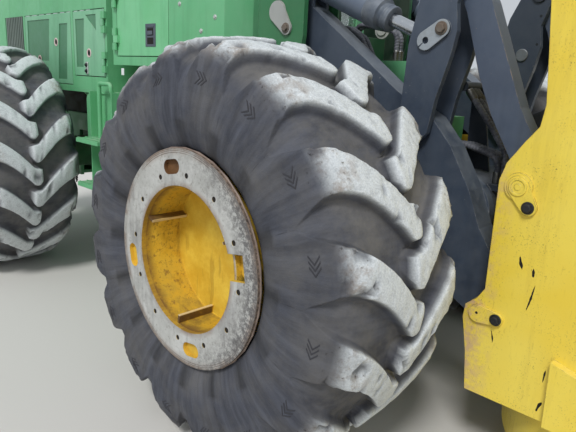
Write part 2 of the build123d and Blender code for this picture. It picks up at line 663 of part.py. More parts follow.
DOOR_X0 = CAB_REAR + 320
DOOR_X1 = CAB_SIDE_FRONT - 80
SIDE_WINDOW = (CAB_REAR + 120, CAB_SIDE_FRONT - 100)
WINDSCREEN_HALF_W = 440.0
WINDSCREEN_LOW = CAB_LOW + 80
REAR_WINDOW_HALF_W = 520.0
GLASS_IN = 15.0
cab = plan(cab_face(0), CAB_LOW, CAB_TOP) - plan(cab_face(CAB_WALL), CAB_LOW + CAB_WALL, CAB_TOP + 1)
WINDOW_CUTS = [
    # x0, x1, y0, y1, low z, high z
    (CAB_REAR - 1, CAB_REAR + 60, -REAR_WINDOW_HALF_W, REAR_WINDOW_HALF_W, HOOD_TOP + 60, WINDOW_TOP),
    (CAB_FRONT - 60, CAB_FRONT + 1, -WINDSCREEN_HALF_W, WINDSCREEN_HALF_W, WINDSCREEN_LOW, WINDOW_TOP),
    (SIDE_WINDOW[0], SIDE_WINDOW[1], -CAB_HALF_W - 1, -CAB_HALF_W + 60, WINDOW_LOW, WINDOW_TOP),
    (DOOR_X0, DOOR_X1, CAB_HALF_W - 60, CAB_HALF_W + 1, CAB_LOW + 60, WINDOW_TOP + 30),
    (CAB_REAR + 60, SERVICE_FRONT, -CAB_HALF_W - 1, -CAB_HALF_W + 60, CAB_LOW + 60, SERVICE_TOP),
]
for cut in WINDOW_CUTS:
    cab -= block(*cut)
for mount_x in (CAB_REAR + 120, CAB_FRONT - 220):
    for pad in both(Pos(mount_x + FRONT_X, 420, DECK_Z) * Cylinder(
            70, CAB_LOW - DECK_Z + 1, align=(Align.CENTER, Align.CENTER, Align.MIN))):
        cab += pad

roof = plan(offset(cab_face(0), 35), CAB_TOP + SEAT_GAP, CAB_TOP + ROOF_T)
roof = fillet(roof.edges().group_by(Axis.Z)[-1], 40)
write(roof, "cab_roof")

PANES = [
    # x0, x1, y0, y1, low z, all before the clearance at the pane's edge
    (CAB_REAR + GLASS_IN, CAB_REAR + GLASS_IN + GLASS_T, -REAR_WINDOW_HALF_W + SEAT_GAP,
     REAR_WINDOW_HALF_W - SEAT_GAP, HOOD_TOP + 60),
    (CAB_FRONT - GLASS_IN - GLASS_T, CAB_FRONT - GLASS_IN, -WINDSCREEN_HALF_W + SEAT_GAP,
     WINDSCREEN_HALF_W - SEAT_GAP, WINDSCREEN_LOW),
    (SIDE_WINDOW[0] + SEAT_GAP, SIDE_WINDOW[1] - SEAT_GAP, -CAB_HALF_W + GLASS_IN,
     -CAB_HALF_W + GLASS_IN + GLASS_T, WINDOW_LOW),
]
panes = [block(x0, x1, y0, y1, low + SEAT_GAP, WINDOW_TOP - SEAT_GAP) for x0, x1, y0, y1, low in PANES]
write(Compound(children=panes), "cab_glass")

cab_door = block(DOOR_X0 + DOOR_GAP, DOOR_X1 - DOOR_GAP, CAB_HALF_W - CAB_WALL, CAB_HALF_W,
                 CAB_LOW + 60 + DOOR_GAP, WINDOW_TOP + 30 - DOOR_GAP)
door_window = (DOOR_X0 + 80, DOOR_X1 - 80, 1980.0, WINDOW_TOP - 50)
cab_door -= block(door_window[0], door_window[1], 0, CAB_HALF_W + 1, door_window[2], door_window[3])
fixed, moving = hinge(DOOR_X0 + DOOR_GAP / 2, CAB_HALF_W, 1, 1, (CAB_LOW + 250, WINDOW_TOP - 150))
for leaf in fixed:
    cab += leaf
for leaf in moving:
    cab_door += leaf
write(cab_door, "cab_door")
door_glass = block(door_window[0] + 0.3, door_window[1] - 0.3, CAB_HALF_W - 25, CAB_HALF_W - 17,
                   door_window[2] + 0.3, door_window[3] - 0.3)
write(door_glass, "cab_door_glass")

service = door(CAB_REAR + 60 + DOOR_GAP, SERVICE_FRONT - DOOR_GAP, CAB_LOW + 60 + DOOR_GAP,
               SERVICE_TOP - DOOR_GAP, -CAB_HALF_W, -1)
fixed, moving = hinge(CAB_REAR + 60 + DOOR_GAP / 2, -CAB_HALF_W, -1, 1, (CAB_LOW + 180, SERVICE_TOP - 120))
for leaf in fixed:
    cab += leaf
for leaf in moving:
    service += leaf
write(service, "service_door")
write(cab, "cab_shell")

SEAT_X = CAB_REAR + 580
seat_base = Pos(SEAT_X + FRONT_X, 0, CAB_LOW + CAB_WALL) * Cylinder(
    140, 330, align=(Align.CENTER, Align.CENTER, Align.MIN))
cushion = block(SEAT_X - 250, SEAT_X + 250, -250, 250, CAB_LOW + CAB_WALL + 330, CAB_LOW + CAB_WALL + 450)
back = block(SEAT_X - 350, SEAT_X - 240, -250, 250, CAB_LOW + CAB_WALL + 400, CAB_LOW + CAB_WALL + 1050)
write(seat_base + cushion + back, "seat")


# Tank under the cab on the right, steps and rails ahead of the rear wheels

tank = block(CROSS_PLATES[1] + 30, CROSS_PLATES[2] - 5, FRAME_HALF_W + SEAT_GAP, 690,
             1060, DECK_Z - DECK_T - SEAT_GAP)
tank = fillet(tank.edges().filter_by(Axis.Y), 60)
tanks = Compound(children=both(tank))
write(tanks, "fuel_tanks")

RAIL_R = 16.0


def rail(points, radius):
    path = FilletPolyline(*[(x + FRONT_X, y, z) for x, y, z in points], radius=radius)
    return sweep(Plane(origin=path @ 0, z_dir=path % 0) * Circle(RAIL_R), path=path)


STEP_X = (REAR_AXLE + 950, REAR_AXLE + 1290)
step = block(*STEP_X, DECK_HALF_W, 900, 1120, 1150) + block(*STEP_X, DECK_HALF_W, 900, 780, 810)
for x in (STEP_X[0], STEP_X[1] - 12):
    step += block(x, x + 12, DECK_HALF_W, 780, 780, DECK_Z)
RAIL_X = (STEP_X[0] + 120, STEP_X[1] - 40)
step += rail([(RAIL_X[0], 760, 1149), (RAIL_X[0], 760, 1560), (RAIL_X[1], 760, 1560),
              (RAIL_X[1], 760, DECK_Z - 10), (RAIL_X[1], DECK_HALF_W, DECK_Z - 10)], 30)
write(Compound(children=both(step)), "steps_and_handles")

EXHAUST = (REAR_AXLE + 350, -380.0, 420.0)
exhaust = upright_bar(EXHAUST[0], EXHAUST[1], 60, HOOD_TOP + SEAT_GAP, HOOD_TOP + EXHAUST[2])
exhaust -= upright_bar(EXHAUST[0], EXHAUST[1], 54, HOOD_TOP + 120, HOOD_TOP + EXHAUST[2] + 1)
write(exhaust, "exhaust_stack")

LAMPS = [
    # x, y
    (CAB_FRONT - 20, 480),
    (CAB_FRONT - 20, 200),
    (CAB_REAR + 40, 480),
]
lamps = []
for x, y in LAMPS:
    lamp = block(x - 40, x + 40, y - 60, y + 60, CAB_TOP + ROOF_T + SEAT_GAP, CAB_TOP + ROOF_T + 90)
    lamps += both(lamp)
write(Compound(children=lamps), "work_lamps")


# Lift arms: one box arm each side, joined by a cross tube, with ears for the cylinders

ARM_Y0 = LINK_Y - ARM_HALF_T
ARM_Y1 = LINK_Y + ARM_HALF_T
arm_outline = outline([
    (-490, 2110), (-350, 2085), (-200, 1985), (-10, 1850), (300, 1630), (430, 1555), (500, 1520),
    (610, 1400), (720, 1220), (790, 1060), (985, 780), (955, 650), (850, 635), (660, 740),
    (500, 980), (420, 1170), (250, 1370), (20, 1545), (-500, 1905),
])
arm = slab(arm_outline, ARM_Y0, ARM_Y1)
arm += bar_y(LIFT_PIN, 120, ARM_Y0, ARM_Y1)
EARS = [
    # pin, top or bottom outline of the ear, ear radius
    (TILT_BASE_PIN, [(-440, 2060), (-375, 2180), (-300, 2180), (-268, 2100), (-268, 2000)], 75),
    (LIFT_ROD_PIN, [(-125, 1700), (-95, 1470), (55, 1470), (90, 1560)], 75),
]
for pin, ear_points, ear_r in EARS:
    ear = outline(ear_points) + spot(pin, ear_r)
    for y0, y1 in ((ARM_Y0, ARM_Y0 + 20), (ARM_Y1 - 20, ARM_Y1)):
        arm += slab(ear, y0, y1)
arm += bar_y(TILT_BASE_PIN, PIN_R, ARM_Y0, ARM_Y1)
arm -= bar_y(LIFT_PIN, PIN_R + RUNNING_FIT, ARM_Y0 - 1, ARM_Y1 + 1)
arm -= bar_y(LEVER_PIN, PIN_R + RUNNING_FIT, ARM_Y0 - 1, ARM_Y1 + 1)
arm -= bar_y(HEAD_LOW_PIN, PIN_R + RUNNING_FIT, ARM_Y0 - 1, ARM_Y1 + 1)
cross_tube = bar_y(CROSS_TUBE, CROSS_TUBE_R, -ARM_Y0 - 1, ARM_Y0 + 1)
lift_arms = both(arm)[0] + both(arm)[1] + cross_tube
HOSE_Y = (-335.0, -190.0)
HOSE_BAR = (540.0, 1665.0)
HOSE_BAR_R = 22.0
HOSE_TRAY_Z = CROSS_TUBE[1] + 130
HOSE_CLAMP_X = 330.0
HOSE_PLATE_T = 12.0
HOSE_TRAY_X = (CROSS_TUBE[0] + 95, CROSS_TUBE[0] + 200)
hose_stand = outline([(520, 1255), (650, 1255), (568, HOSE_BAR[1]), (512, HOSE_BAR[1])])
lift_arms += slab(hose_stand, HOSE_Y[1] + 2, HOSE_Y[1] + 2 + HOSE_PLATE_T)
lift_arms += bar_y(HOSE_BAR, HOSE_BAR_R, HOSE_Y[0], HOSE_Y[1] + 2 + HOSE_PLATE_T)
lift_arms += block(*HOSE_TRAY_X, *HOSE_Y, HOSE_TRAY_Z - 30, HOSE_TRAY_Z)
lift_arms += block(HOSE_CLAMP_X - HOSE_PLATE_T, HOSE_CLAMP_X, -ARM_Y0 - 1, HOSE_Y[1], 1345, 1435)
write(lift_arms, "lift_arms")

# Hydraulic hoses held on the arms and on the tower: each runs between the faces that hold its ends

HOSE_UPPER = [along(HOSE_BAR, (690, 1485), HOSE_BAR_R + SEAT_GAP), (690, 1485), (775, 1370),
              (775, HOSE_TRAY_Z + SEAT_GAP)]
HOSE_LOWER = [(HOSE_CLAMP_X + SEAT_GAP, 1390), (570, 1392), (735, 1352), (735, HOSE_TRAY_Z + SEAT_GAP)]
HOSE_SIDE = [(TOWER_CROSS_X + SEAT_GAP, 1880), (-315, 1880), (-235, 1960), (-110, 1890), (5, 1700),
             (20, 1480), (20, FRONT_DECK_TOP + SEAT_GAP)]
HOSE_OVER = [(TOWER_CROSS_X + SEAT_GAP, 1900), (-310, 1900), (-190, 1975), (55, 1930),
             (55, FRONT_BLOCK_TOP + SEAT_GAP)]
HOSES = [
    # node, y, radius, route in the side view, radius of its bends
    ("arm_hoses", -312.0, 16.0, HOSE_UPPER, 90),
    ("arm_hoses", -271.0, 16.0, HOSE_UPPER, 90),
    ("arm_hoses", -233.0, 13.0, HOSE_UPPER, 90),
    ("arm_hoses", -292.0, 16.0, HOSE_LOWER, 70),
    ("arm_hoses", -251.0, 16.0, HOSE_LOWER, 70),
    ("arm_hoses", -215.0, 13.0, HOSE_LOWER, 70),
    ("tower_hoses", -292.0, 16.0, HOSE_SIDE, 60),
    ("tower_hoses", -254.0, 16.0, HOSE_SIDE, 60),
    ("tower_hoses", -200.0, 14.0, HOSE_OVER, 60),
    ("tower_hoses", -162.0, 14.0, HOSE_OVER, 60),
]
hose_sets = {"arm_hoses": [], "tower_hoses": []}
for node, y, hose_r, route, bend_r in HOSES:
    path = FilletPolyline(*[(x + FRONT_X, y, z) for x, z in route], radius=bend_r)
    hose_sets[node].append(sweep(Plane(origin=path @ 0, z_dir=path % 0) * Circle(hose_r), path=path))
for node, tubes in hose_sets.items():
    write(Compound(children=tubes), node)

# Pins of the lift arms in the tower, with their keeper plates

lift_pin = bar_y(LIFT_PIN, PIN_R, FRAME_HALF_W - 10, TOWER_OUTER_Y + TOWER_T + 12)
lift_pin += bar_y(LIFT_PIN, PIN_R + 20, FRAME_HALF_W, FRAME_HALF_W + TOWER_T)
lift_pin += bar_y(LIFT_PIN, PIN_R + 20, TOWER_OUTER_Y, TOWER_OUTER_Y + TOWER_T)
keeper_y = TOWER_OUTER_Y + TOWER_T + SEAT_GAP
lift_pin += keeper(LIFT_PIN, TOWER_BOLT, 56, 36, keeper_y, keeper_y + KEEPER_T)
write(Compound(children=both(lift_pin)), "tower_pins")


# Cylinders: barrel with its base eye, gland and rod with its end eye

def barrel(base, rod_end, y, radius, length, gland_r, rod_r):
    """A cylinder barrel in the side view plane, from its base eye towards the rod end."""
    start = along(base, rod_end, radius + 6)
    end = along(base, rod_end, length)
    body = bar_xz(start, end, radius, y)
    body -= bar_xz(along(base, rod_end, radius + 26), along(base, rod_end, length + 1), rod_r + 0.3, y)
    gland = bar_xz(along(base, rod_end, length - 1), along(base, rod_end, length + 60), gland_r, y)
    gland -= bar_xz(along(base, rod_end, length - 2), along(base, rod_end, length + 61), rod_r + 0.3, y)
    neck = bar_xz(base, along(base, rod_end, radius + 10), EYE_HALF_T - 1, y)
    eye = bar_y(base, EYE_R, y - EYE_HALF_T, y + EYE_HALF_T)
    bore = bar_y(base, PIN_R + RUNNING_FIT, y - radius, y + radius)
    return body + gland + neck + eye - bore


def rod(base, rod_end, y, rod_r, start):
    """A rod from inside its barrel to the eye at the rod end."""
    body = bar_xz(along(base, rod_end, start), rod_end, rod_r, y)
    return body + bar_y(rod_end, EYE_R, y - EYE_HALF_T, y + EYE_HALF_T)


EYE_R = 62.0
tilt_barrel = barrel(TILT_BASE_PIN, LEVER_CYL_PIN, LINK_Y, TILT_BARREL_R, 480, 58, TILT_ROD_R)
write(Compound(children=both(tilt_barrel)), "tilt_cylinder_barrels")
tilt_rod = rod(TILT_BASE_PIN, LEVER_CYL_PIN, LINK_Y, TILT_ROD_R, 205)
write(Compound(children=both(tilt_rod)), "tilt_cylinder_rods")
lift_barrel = barrel(LIFT_BASE_PIN, LIFT_ROD_PIN, LINK_Y, LIFT_BARREL_R, 600, 55, LIFT_ROD_R)
write(Compound(children=both(lift_barrel)), "lift_cylinder_barrels")
lift_rod = rod(LIFT_BASE_PIN, LIFT_ROD_PIN, LINK_Y, LIFT_ROD_R, 160)
write(Compound(children=both(lift_rod)), "lift_cylinder_rods")


# Tilt levers: a pair of plates astride each lift arm

lever_face = outline([
    (355, 1450), (360, 1620), (368, 1830), (410, 2040), (480, 2190), (560, 2232), (636, 2190), (605, 2060),
    (585, 2000), (600, 1890), (580, 1780), (530, 1600), (506, 1450), (430, 1372),
])
LEVER_PLACES = [
    # inner y, outer y
    (ARM_Y0 - LEVER_GAP - LEVER_T, ARM_Y0 - LEVER_GAP),
    (ARM_Y1 + LEVER_GAP, ARM_Y1 + LEVER_GAP + LEVER_T),
]
lever = bar_y(LEVER_PIN, PIN_R, LEVER_PLACES[0][0] - 10, LEVER_PLACES[1][1] + 10)
for y0, y1 in LEVER_PLACES:
    lever += slab(lever_face, y0, y1)
lever += bar_y(LEVER_TOP_PIN, PIN_R, LEVER_PLACES[0][0] - 10, LEVER_PLACES[1][1] + 10)
for y0, y1 in ((LEVER_PLACES[0][1] - 1, LINK_Y - EYE_HALF_T - 4),
               (LINK_Y + EYE_HALF_T + 4, LEVER_PLACES[1][0] + 1)):
    lever += bar_y(LEVER_CYL_PIN, 55, y0, y1)
lever += keeper(LEVER_CYL_PIN, LEVER_BOLT, 42, 38, LEVER_PLACES[1][1] - 1, LEVER_PLACES[1][1] + KEEPER_T)
lever -= bar_y(LEVER_CYL_PIN, 15, LEVER_PLACES[1][1] - 5, LEVER_PLACES[1][1] + KEEPER_T + 1)
write(Compound(children=both(lever)), "tilt_levers")

# Tilt links: from the lever tops down to the head's upper ears

link_face = outline([
    (500, 2158), (560, 2215), (625, 2160), (705, 2010), (885, 1590), (1040, 1330), (1040, 1265),
    (960, 1235), (925, 1290), (760, 1560), (690, 1710), (600, 1970),
])
link_face += spot(LEVER_TOP_PIN, 66)
link_face += spot(HEAD_TOP_PIN, 62)
link = slab(link_face, LINK_Y - LINK_HALF_T, LINK_Y + LINK_HALF_T)
link -= bar_y(LEVER_TOP_PIN, PIN_R + RUNNING_FIT, LINK_Y - LINK_HALF_T - 1, LINK_Y + LINK_HALF_T + 1)
write(Compound(children=both(link)), "tilt_links")


# Felling head: side plates, back plate, face post and ears

HEAD_IN_Y = HEAD_OUT_Y - HEAD_PLATE_T
head_side = outline([
    (1000, HEAD_TOP), (1000, 1980), (1020, 1800), (1040, 1610), (1030, 1530), (985, 1470), (925, 1380),
    (905, 1310), (910, 850), (880, 800), (835, 760), (830, 700), (860, 550), (880, HEAD_LOW),
    (HEAD_FACE_X, HEAD_LOW), (HEAD_FACE_X, 1900), (1250, HEAD_TOP),
])
head = slab(head_side, HEAD_IN_Y, HEAD_OUT_Y)
ear_y0 = LINK_Y - 110
ear_y1 = LINK_Y - 85
INNER_EARS = [
    # pin, lowest z at the back plate, highest z at the back plate
    (HEAD_TOP_PIN, 1190, 1400),
    (HEAD_LOW_PIN, 620, 860),
]
for pin, low, high in INNER_EARS:
    root = outline([(pin[0], pin[1] - 60), (HEAD_BACK_X + 1, low), (HEAD_BACK_X + 1, high),
                    (pin[0], pin[1] + 60)])
    head += slab(root + spot(pin, 62), ear_y0, ear_y1)
head += bar_y(HEAD_LOW_PIN, PIN_R, ear_y0 - 5, HEAD_OUT_Y + 8)
for y0, y1 in ((ear_y1 - 1, ARM_Y0 - 4), (ARM_Y1 + 4, HEAD_IN_Y + 1)):
    head += bar_y(HEAD_LOW_PIN, 60, y0, y1)
for y0, y1 in ((ear_y1 - 1, LINK_Y - LINK_HALF_T - 4), (LINK_Y + LINK_HALF_T + 4, HEAD_OUT_Y + 8)):
    head += bar_y(HEAD_TOP_PIN, 55, y0, y1)
head += keeper(HEAD_TOP_PIN, HEAD_TOP_BOLT, 44, 32, HEAD_OUT_Y - 1, HEAD_OUT_Y + KEEPER_T)
head += keeper(HEAD_LOW_PIN, HEAD_LOW_BOLT, 38, 28, HEAD_OUT_Y - 1, HEAD_OUT_Y + KEEPER_T)
guard_outline = outline([(1217, 654), (HEAD_FACE_X, 600), (HEAD_FACE_X, HEAD_LOW), (1225, HEAD_LOW)])
head += slab(guard_outline, HEAD_OUT_Y - 1, HEAD_OUT_Y + GUARD_OUT)
head_sides = both(head)
back_plate = block(HEAD_BACK_X, HEAD_BACK_X + 25, -HEAD_IN_Y - 1, HEAD_IN_Y + 1, HEAD_LOW, HEAD_TOP)
face = block(HEAD_FACE_X - 25, HEAD_FACE_X, -HEAD_IN_Y - 1, HEAD_IN_Y + 1, HEAD_LOW, 1900)
floor = block(HEAD_BACK_X, HEAD_FACE_X, -HEAD_IN_Y - 1, HEAD_IN_Y + 1, HEAD_LOW, HEAD_LOW + 25)
top_plate = block(1000, 1250, -HEAD_OUT_Y, HEAD_OUT_Y, HEAD_TOP - 25, HEAD_TOP)
head_frame = head_sides[0] + head_sides[1] + back_plate + face + floor + top_plate
for z0 in (CLAMP_Z, ACCUMULATOR_Z):
    ears = []
    for low in (z0 - 60, z0 + 2 * ARM_PLATE_T + 15):
        ear = plan(Pos(ARM_PIN[0] + FRONT_X, ARM_PIN[1]) * Circle(65), low, low + 45)
        ear += block(HEAD_FACE_X - 1, ARM_PIN[0], ARM_PIN[1] - 65, ARM_PIN[1] + 65, low, low + 45)
        ears += both(ear)
    for ear in ears:
        head_frame += ear
    arm_pin = Pos(ARM_PIN[0] + FRONT_X, ARM_PIN[1]) * Circle(PIN_R)
    for pin in both(plan(arm_pin, z0 - 60, z0 + 2 * ARM_PLATE_T + 60)):
        head_frame += pin
write(head_frame, "head_frame")


# Saw housing under the head: a round flat case, open at the front, and the disc on its spindle

housing = plan(Pos(SAW_X + FRONT_X, 0) * Circle(HOUSING_R), HOUSING_LOW, HOUSING_TOP)
housing += block(SAW_X, SAW_X + 420, -HOUSING_R, HOUSING_R, HOUSING_LOW, HOUSING_TOP)
housing -= block(SAW_X + 420, NOSE_X, -HOUSING_R - 1, HOUSING_R + 1, HOUSING_LOW - 1, HOUSING_TOP + 1)
inner = plan(Pos(SAW_X + FRONT_X, 0) * Circle(HOUSING_R - HOUSING_WALL), HOUSING_LOW + 25, HOUSING_TOP - 30)
inner += block(SAW_X, SAW_X + 421, -HOUSING_R + HOUSING_WALL, HOUSING_R - HOUSING_WALL,
               HOUSING_LOW + 25, HOUSING_TOP - 30)
housing -= inner
lip = block(SAW_X + 419, HEAD_REACH, HOUSING_R - 90, HOUSING_R, HOUSING_LOW, HOUSING_TOP - 60)
lip -= block(SAW_X + 400, HEAD_REACH + 1, HOUSING_R - 91, HOUSING_R - HOUSING_WALL,
             HOUSING_LOW + 25, HOUSING_TOP)
for piece in both(lip):
    housing += piece
SPINDLE_Z = HOUSING_TOP - 12
housing += upright_bar(SAW_X, 0, 2 * SAW_SPINDLE_R, DISC_Z + DISC_PLATE_T + 6, HOUSING_TOP - 29)
housing -= upright_bar(SAW_X, 0, SAW_SPINDLE_R + RUNNING_FIT, DISC_Z, SPINDLE_Z + 1)
write(housing, "saw_housing")

disc = plan(Pos(SAW_X + FRONT_X, 0) * Circle(DISC_R - 30), DISC_Z, DISC_Z + DISC_PLATE_T)
disc += upright_bar(SAW_X, 0, SAW_SPINDLE_R, DISC_Z, SPINDLE_Z)
DISC_TEETH = 18
for k in range(DISC_TEETH):
    tooth = Pos(DISC_R - 22, 0, DISC_Z + DISC_PLATE_T / 2) * Box(44, 50, DISC_PLATE_T + 20)
    disc += Pos(SAW_X + FRONT_X, 0, 0) * Rot(0, 0, 360 / DISC_TEETH * k) * tooth
write(disc, "saw_disc")


# Clamp and accumulator arms: hooked plates that swing on upright pins in front of the head

def hook(side, z0):
    """A hooked arm in the top view, from its pin around the tree pocket to its tip."""
    px = ARM_PIN[0] + FRONT_X
    py = side * ARM_PIN[1]
    cx = HEAD_FACE_X + 330 + FRONT_X
    ring = Pos(cx, 0) * (Circle(ARM_REACH_R + 70) - Circle(ARM_REACH_R - 10))
    keep = Pos(cx + 300, side * 300) * Rectangle(760, 600 - 60)
    face = ring & keep
    root = make_face(Polyline((px - 60, py - side * 20), (px + 30, py + side * 62),
                              (px + 330, side * (ARM_REACH_R + 65)),
                              (px + 330, side * (ARM_REACH_R - 5)), (px + 40, py - side * 62), close=True))
    face += root
    face += Pos(px, py) * Circle(70)
    face -= Pos(px, py) * Circle(PIN_R + RUNNING_FIT)
    return plan(face, z0, z0 + ARM_PLATE_T)


ARMS = [
    # name, low z
    ("clamp_arm", CLAMP_Z),
    ("accumulator_arm", ACCUMULATOR_Z),
]
for name, z0 in ARMS:
    write(hook(-1, z0), name + "_right")
    write(hook(1, z0 + ARM_PLATE_T + 5), name + "_left")


# Steering cylinders beside the articulation

def steer_parts(side):
    base = (STEER_BASE[0], side * STEER_BASE[1], STEER_Z)
    eye = (STEER_EYE[0], side * STEER_EYE[1], STEER_Z)
    span = hypot(eye[0] - base[0], eye[1] - base[1])

    def at(distance):
        share = distance / span
        return tuple(b + (e - b) * share for b, e in zip(base, eye))

    def eye_ring(point):
        half = STEER_EYE_T / 2
        return upright_bar(point[0], point[1], STEER_EYE_R, STEER_Z - half, STEER_Z + half)

    body = bar(at(72), at(720), STEER_BARREL_R) - bar(at(90), at(721), STEER_ROD_R + 0.3)
    body += eye_ring(base) + bar(at(0), at(76), 26)
    body -= upright_bar(base[0], base[1], STEER_PIN_R + RUNNING_FIT, STEER_Z - 60, STEER_Z + 60)
    stem = bar(at(410), at(span), STEER_ROD_R) + eye_ring(eye)
    return body, stem


for side_name, side in (("right", -1), ("left", 1)):
    body, stem = steer_parts(side)
    write(body, "steer_barrel_" + side_name)
    write(stem, "steer_rod_" + side_name)
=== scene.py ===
from math import cos, pi, radians, sin
import bmesh
import bpy
import numpy as np
from mathutils import Matrix, Vector


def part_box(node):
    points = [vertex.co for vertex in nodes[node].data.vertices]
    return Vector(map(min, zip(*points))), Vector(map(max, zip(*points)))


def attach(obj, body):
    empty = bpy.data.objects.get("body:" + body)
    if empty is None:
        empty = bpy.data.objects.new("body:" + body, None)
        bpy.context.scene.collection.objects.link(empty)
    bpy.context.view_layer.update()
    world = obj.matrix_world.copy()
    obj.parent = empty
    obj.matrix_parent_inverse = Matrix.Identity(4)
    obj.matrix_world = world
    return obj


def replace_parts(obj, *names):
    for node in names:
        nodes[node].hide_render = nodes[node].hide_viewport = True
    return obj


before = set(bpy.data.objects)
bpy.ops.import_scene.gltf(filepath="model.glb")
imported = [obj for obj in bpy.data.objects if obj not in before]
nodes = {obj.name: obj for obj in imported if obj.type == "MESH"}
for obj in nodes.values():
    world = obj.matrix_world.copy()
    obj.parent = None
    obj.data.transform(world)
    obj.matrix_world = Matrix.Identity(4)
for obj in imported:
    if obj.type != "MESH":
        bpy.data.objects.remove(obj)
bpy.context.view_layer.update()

# Standing place: the machine is parked on a pale plain floor and seen as a person beside
# the front right wheel sees it. The lens and the eye point are worked out from the round
# wheel ring, which looks oval in that view.
front_low, front_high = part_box("rim_front_right")
AXLE_X = (front_low.x + front_high.x) / 2
AXLE_Z = (front_low.z + front_high.z) / 2
EYE_FROM_AXLE = (1.800, -2.803, 1.653)
EYE_YAW = radians(43.70)
EYE_PITCH = radians(13.86)
EYE_ROLL = radians(2.85)
LENS_MM = 34.39
SENSOR_MM = 36.0
FLOOR_HALF = 40.0
FLOOR_COLOUR = "#cfccc6"
SKY_COLOUR = "#dfe5ec"
SKY_STRENGTH = 0.74
SUN_STRENGTH = 2.05
SUN_SPREAD = radians(14.0)
SUN_FROM = (0.30, -0.62, 0.80)
KINDS = {
    # node: Blender's name for it, settings, the sockets that its values go to in order, the output used
    "output": ("ShaderNodeOutputMaterial", {}, ("Surface",), 0),
    "surface": ("ShaderNodeBsdfPrincipled", {}, (), 0),
}


def shade(hex_colour):
    """Turns an sRGB hex colour to the linear values that the materials take."""
    values = [int(hex_colour[k:k + 2], 16) / 255 for k in (1, 3, 5)]
    return tuple(v / 12.92 if v <= 0.04045 else ((v + 0.055) / 1.055) ** 2.4 for v in values) + (1.0,)


def new_material(name):
    """An empty material and the function that adds one node to it. That function takes a kind of node
    and its values, each a number, a hex colour or a socket to link, and gives the node's output."""
    material = bpy.data.materials.new(name)
    material.use_nodes = True
    tree = material.node_tree
    tree.nodes.clear()

    def add(kind, *values, **named):
        blender_name, settings, keys, output = KINDS[kind]
        node = tree.nodes.new(blender_name)
        for setting, value in settings.items():
            setattr(node, setting, value)
        sockets = dict(zip(keys, values)) | {key.replace("_", " "): named[key] for key in named}
        for key, value in sockets.items():
            if isinstance(value, bpy.types.NodeSocket):
                tree.links.new(value, node.inputs[key])
            else:
                node.inputs[key].default_value = shade(value) if isinstance(value, str) else value
        return node.outputs[output] if node.outputs else None

    return material, add


def put(name, data):
    """A new object with this data, linked to the scene."""
    thing = bpy.data.objects.new(name, data)
    bpy.context.scene.collection.objects.link(thing)
    return thing


floor_mesh = bpy.data.meshes.new("floor")
floor_corners = [(x * FLOOR_HALF, y * FLOOR_HALF, 0) for x, y in ((-1, -1), (1, -1), (1, 1), (-1, 1))]
floor_mesh.from_pydata(floor_corners, [], [(0, 1, 2, 3)])
floor_paint, add = new_material("pale_floor")
add("output", add("surface", Base_Color=FLOOR_COLOUR, Roughness=0.9))
floor_mesh.materials.append(floor_paint)
put("floor", floor_mesh)

world = bpy.data.worlds.new("pale_sky")
bpy.context.scene.world = world
world.use_nodes = True
world.node_tree.nodes["Background"].inputs[0].default_value = shade(SKY_COLOUR)
world.node_tree.nodes["Background"].inputs[1].default_value = SKY_STRENGTH
sun = put("sun", bpy.data.lights.new("sun", "SUN"))
sun.data.energy = SUN_STRENGTH
sun.data.angle = SUN_SPREAD
sun.rotation_euler = Vector(SUN_FROM).to_track_quat("Z", "Y").to_euler()

back = Vector((sin(EYE_YAW) * cos(EYE_PITCH), -cos(EYE_YAW) * cos(EYE_PITCH), sin(EYE_PITCH)))
level_right = (-back).cross(Vector((0, 0, 1))).normalized()
level_up = level_right.cross(-back)
right = cos(EYE_ROLL) * level_right + sin(EYE_ROLL) * level_up
up = -sin(EYE_ROLL) * level_right + cos(EYE_ROLL) * level_up
eye = Vector(EYE_FROM_AXLE) + Vector((AXLE_X, 0, 0))
camera = put("camera", bpy.data.cameras.new("camera"))
camera.data.lens = LENS_MM
camera.data.sensor_width = SENSOR_MM
camera.matrix_world = Matrix.Translation(eye) @ Matrix((right, up, back)).transposed().to_4x4()
bpy.context.scene.camera = camera
bpy.context.scene.view_settings.view_transform = "Standard"

# Painted steel: welded plate, sprayed with two-pack enamel. Years of forest dust dull it,
# its edges wear bright and stones chip it down to primer and bare steel. A pattern's scale is
# how many of its features go in a metre, so chips of 18 mm are 55.
EDGE_RADIUS = 0.004
FADING_PER_M = 1.4
STREAKS_PER_M = (9.0, 9.0, 0.9)
STRUCK_AREAS_PER_M = 3.0
MOTTLE_PER_M = 11.0
RUBBING_PER_M = 24.0
CHIPS_PER_M = 55.0
SPECKLE_PER_M = 150.0
SPECKLE_CLOUDS_PER_M = 6.0
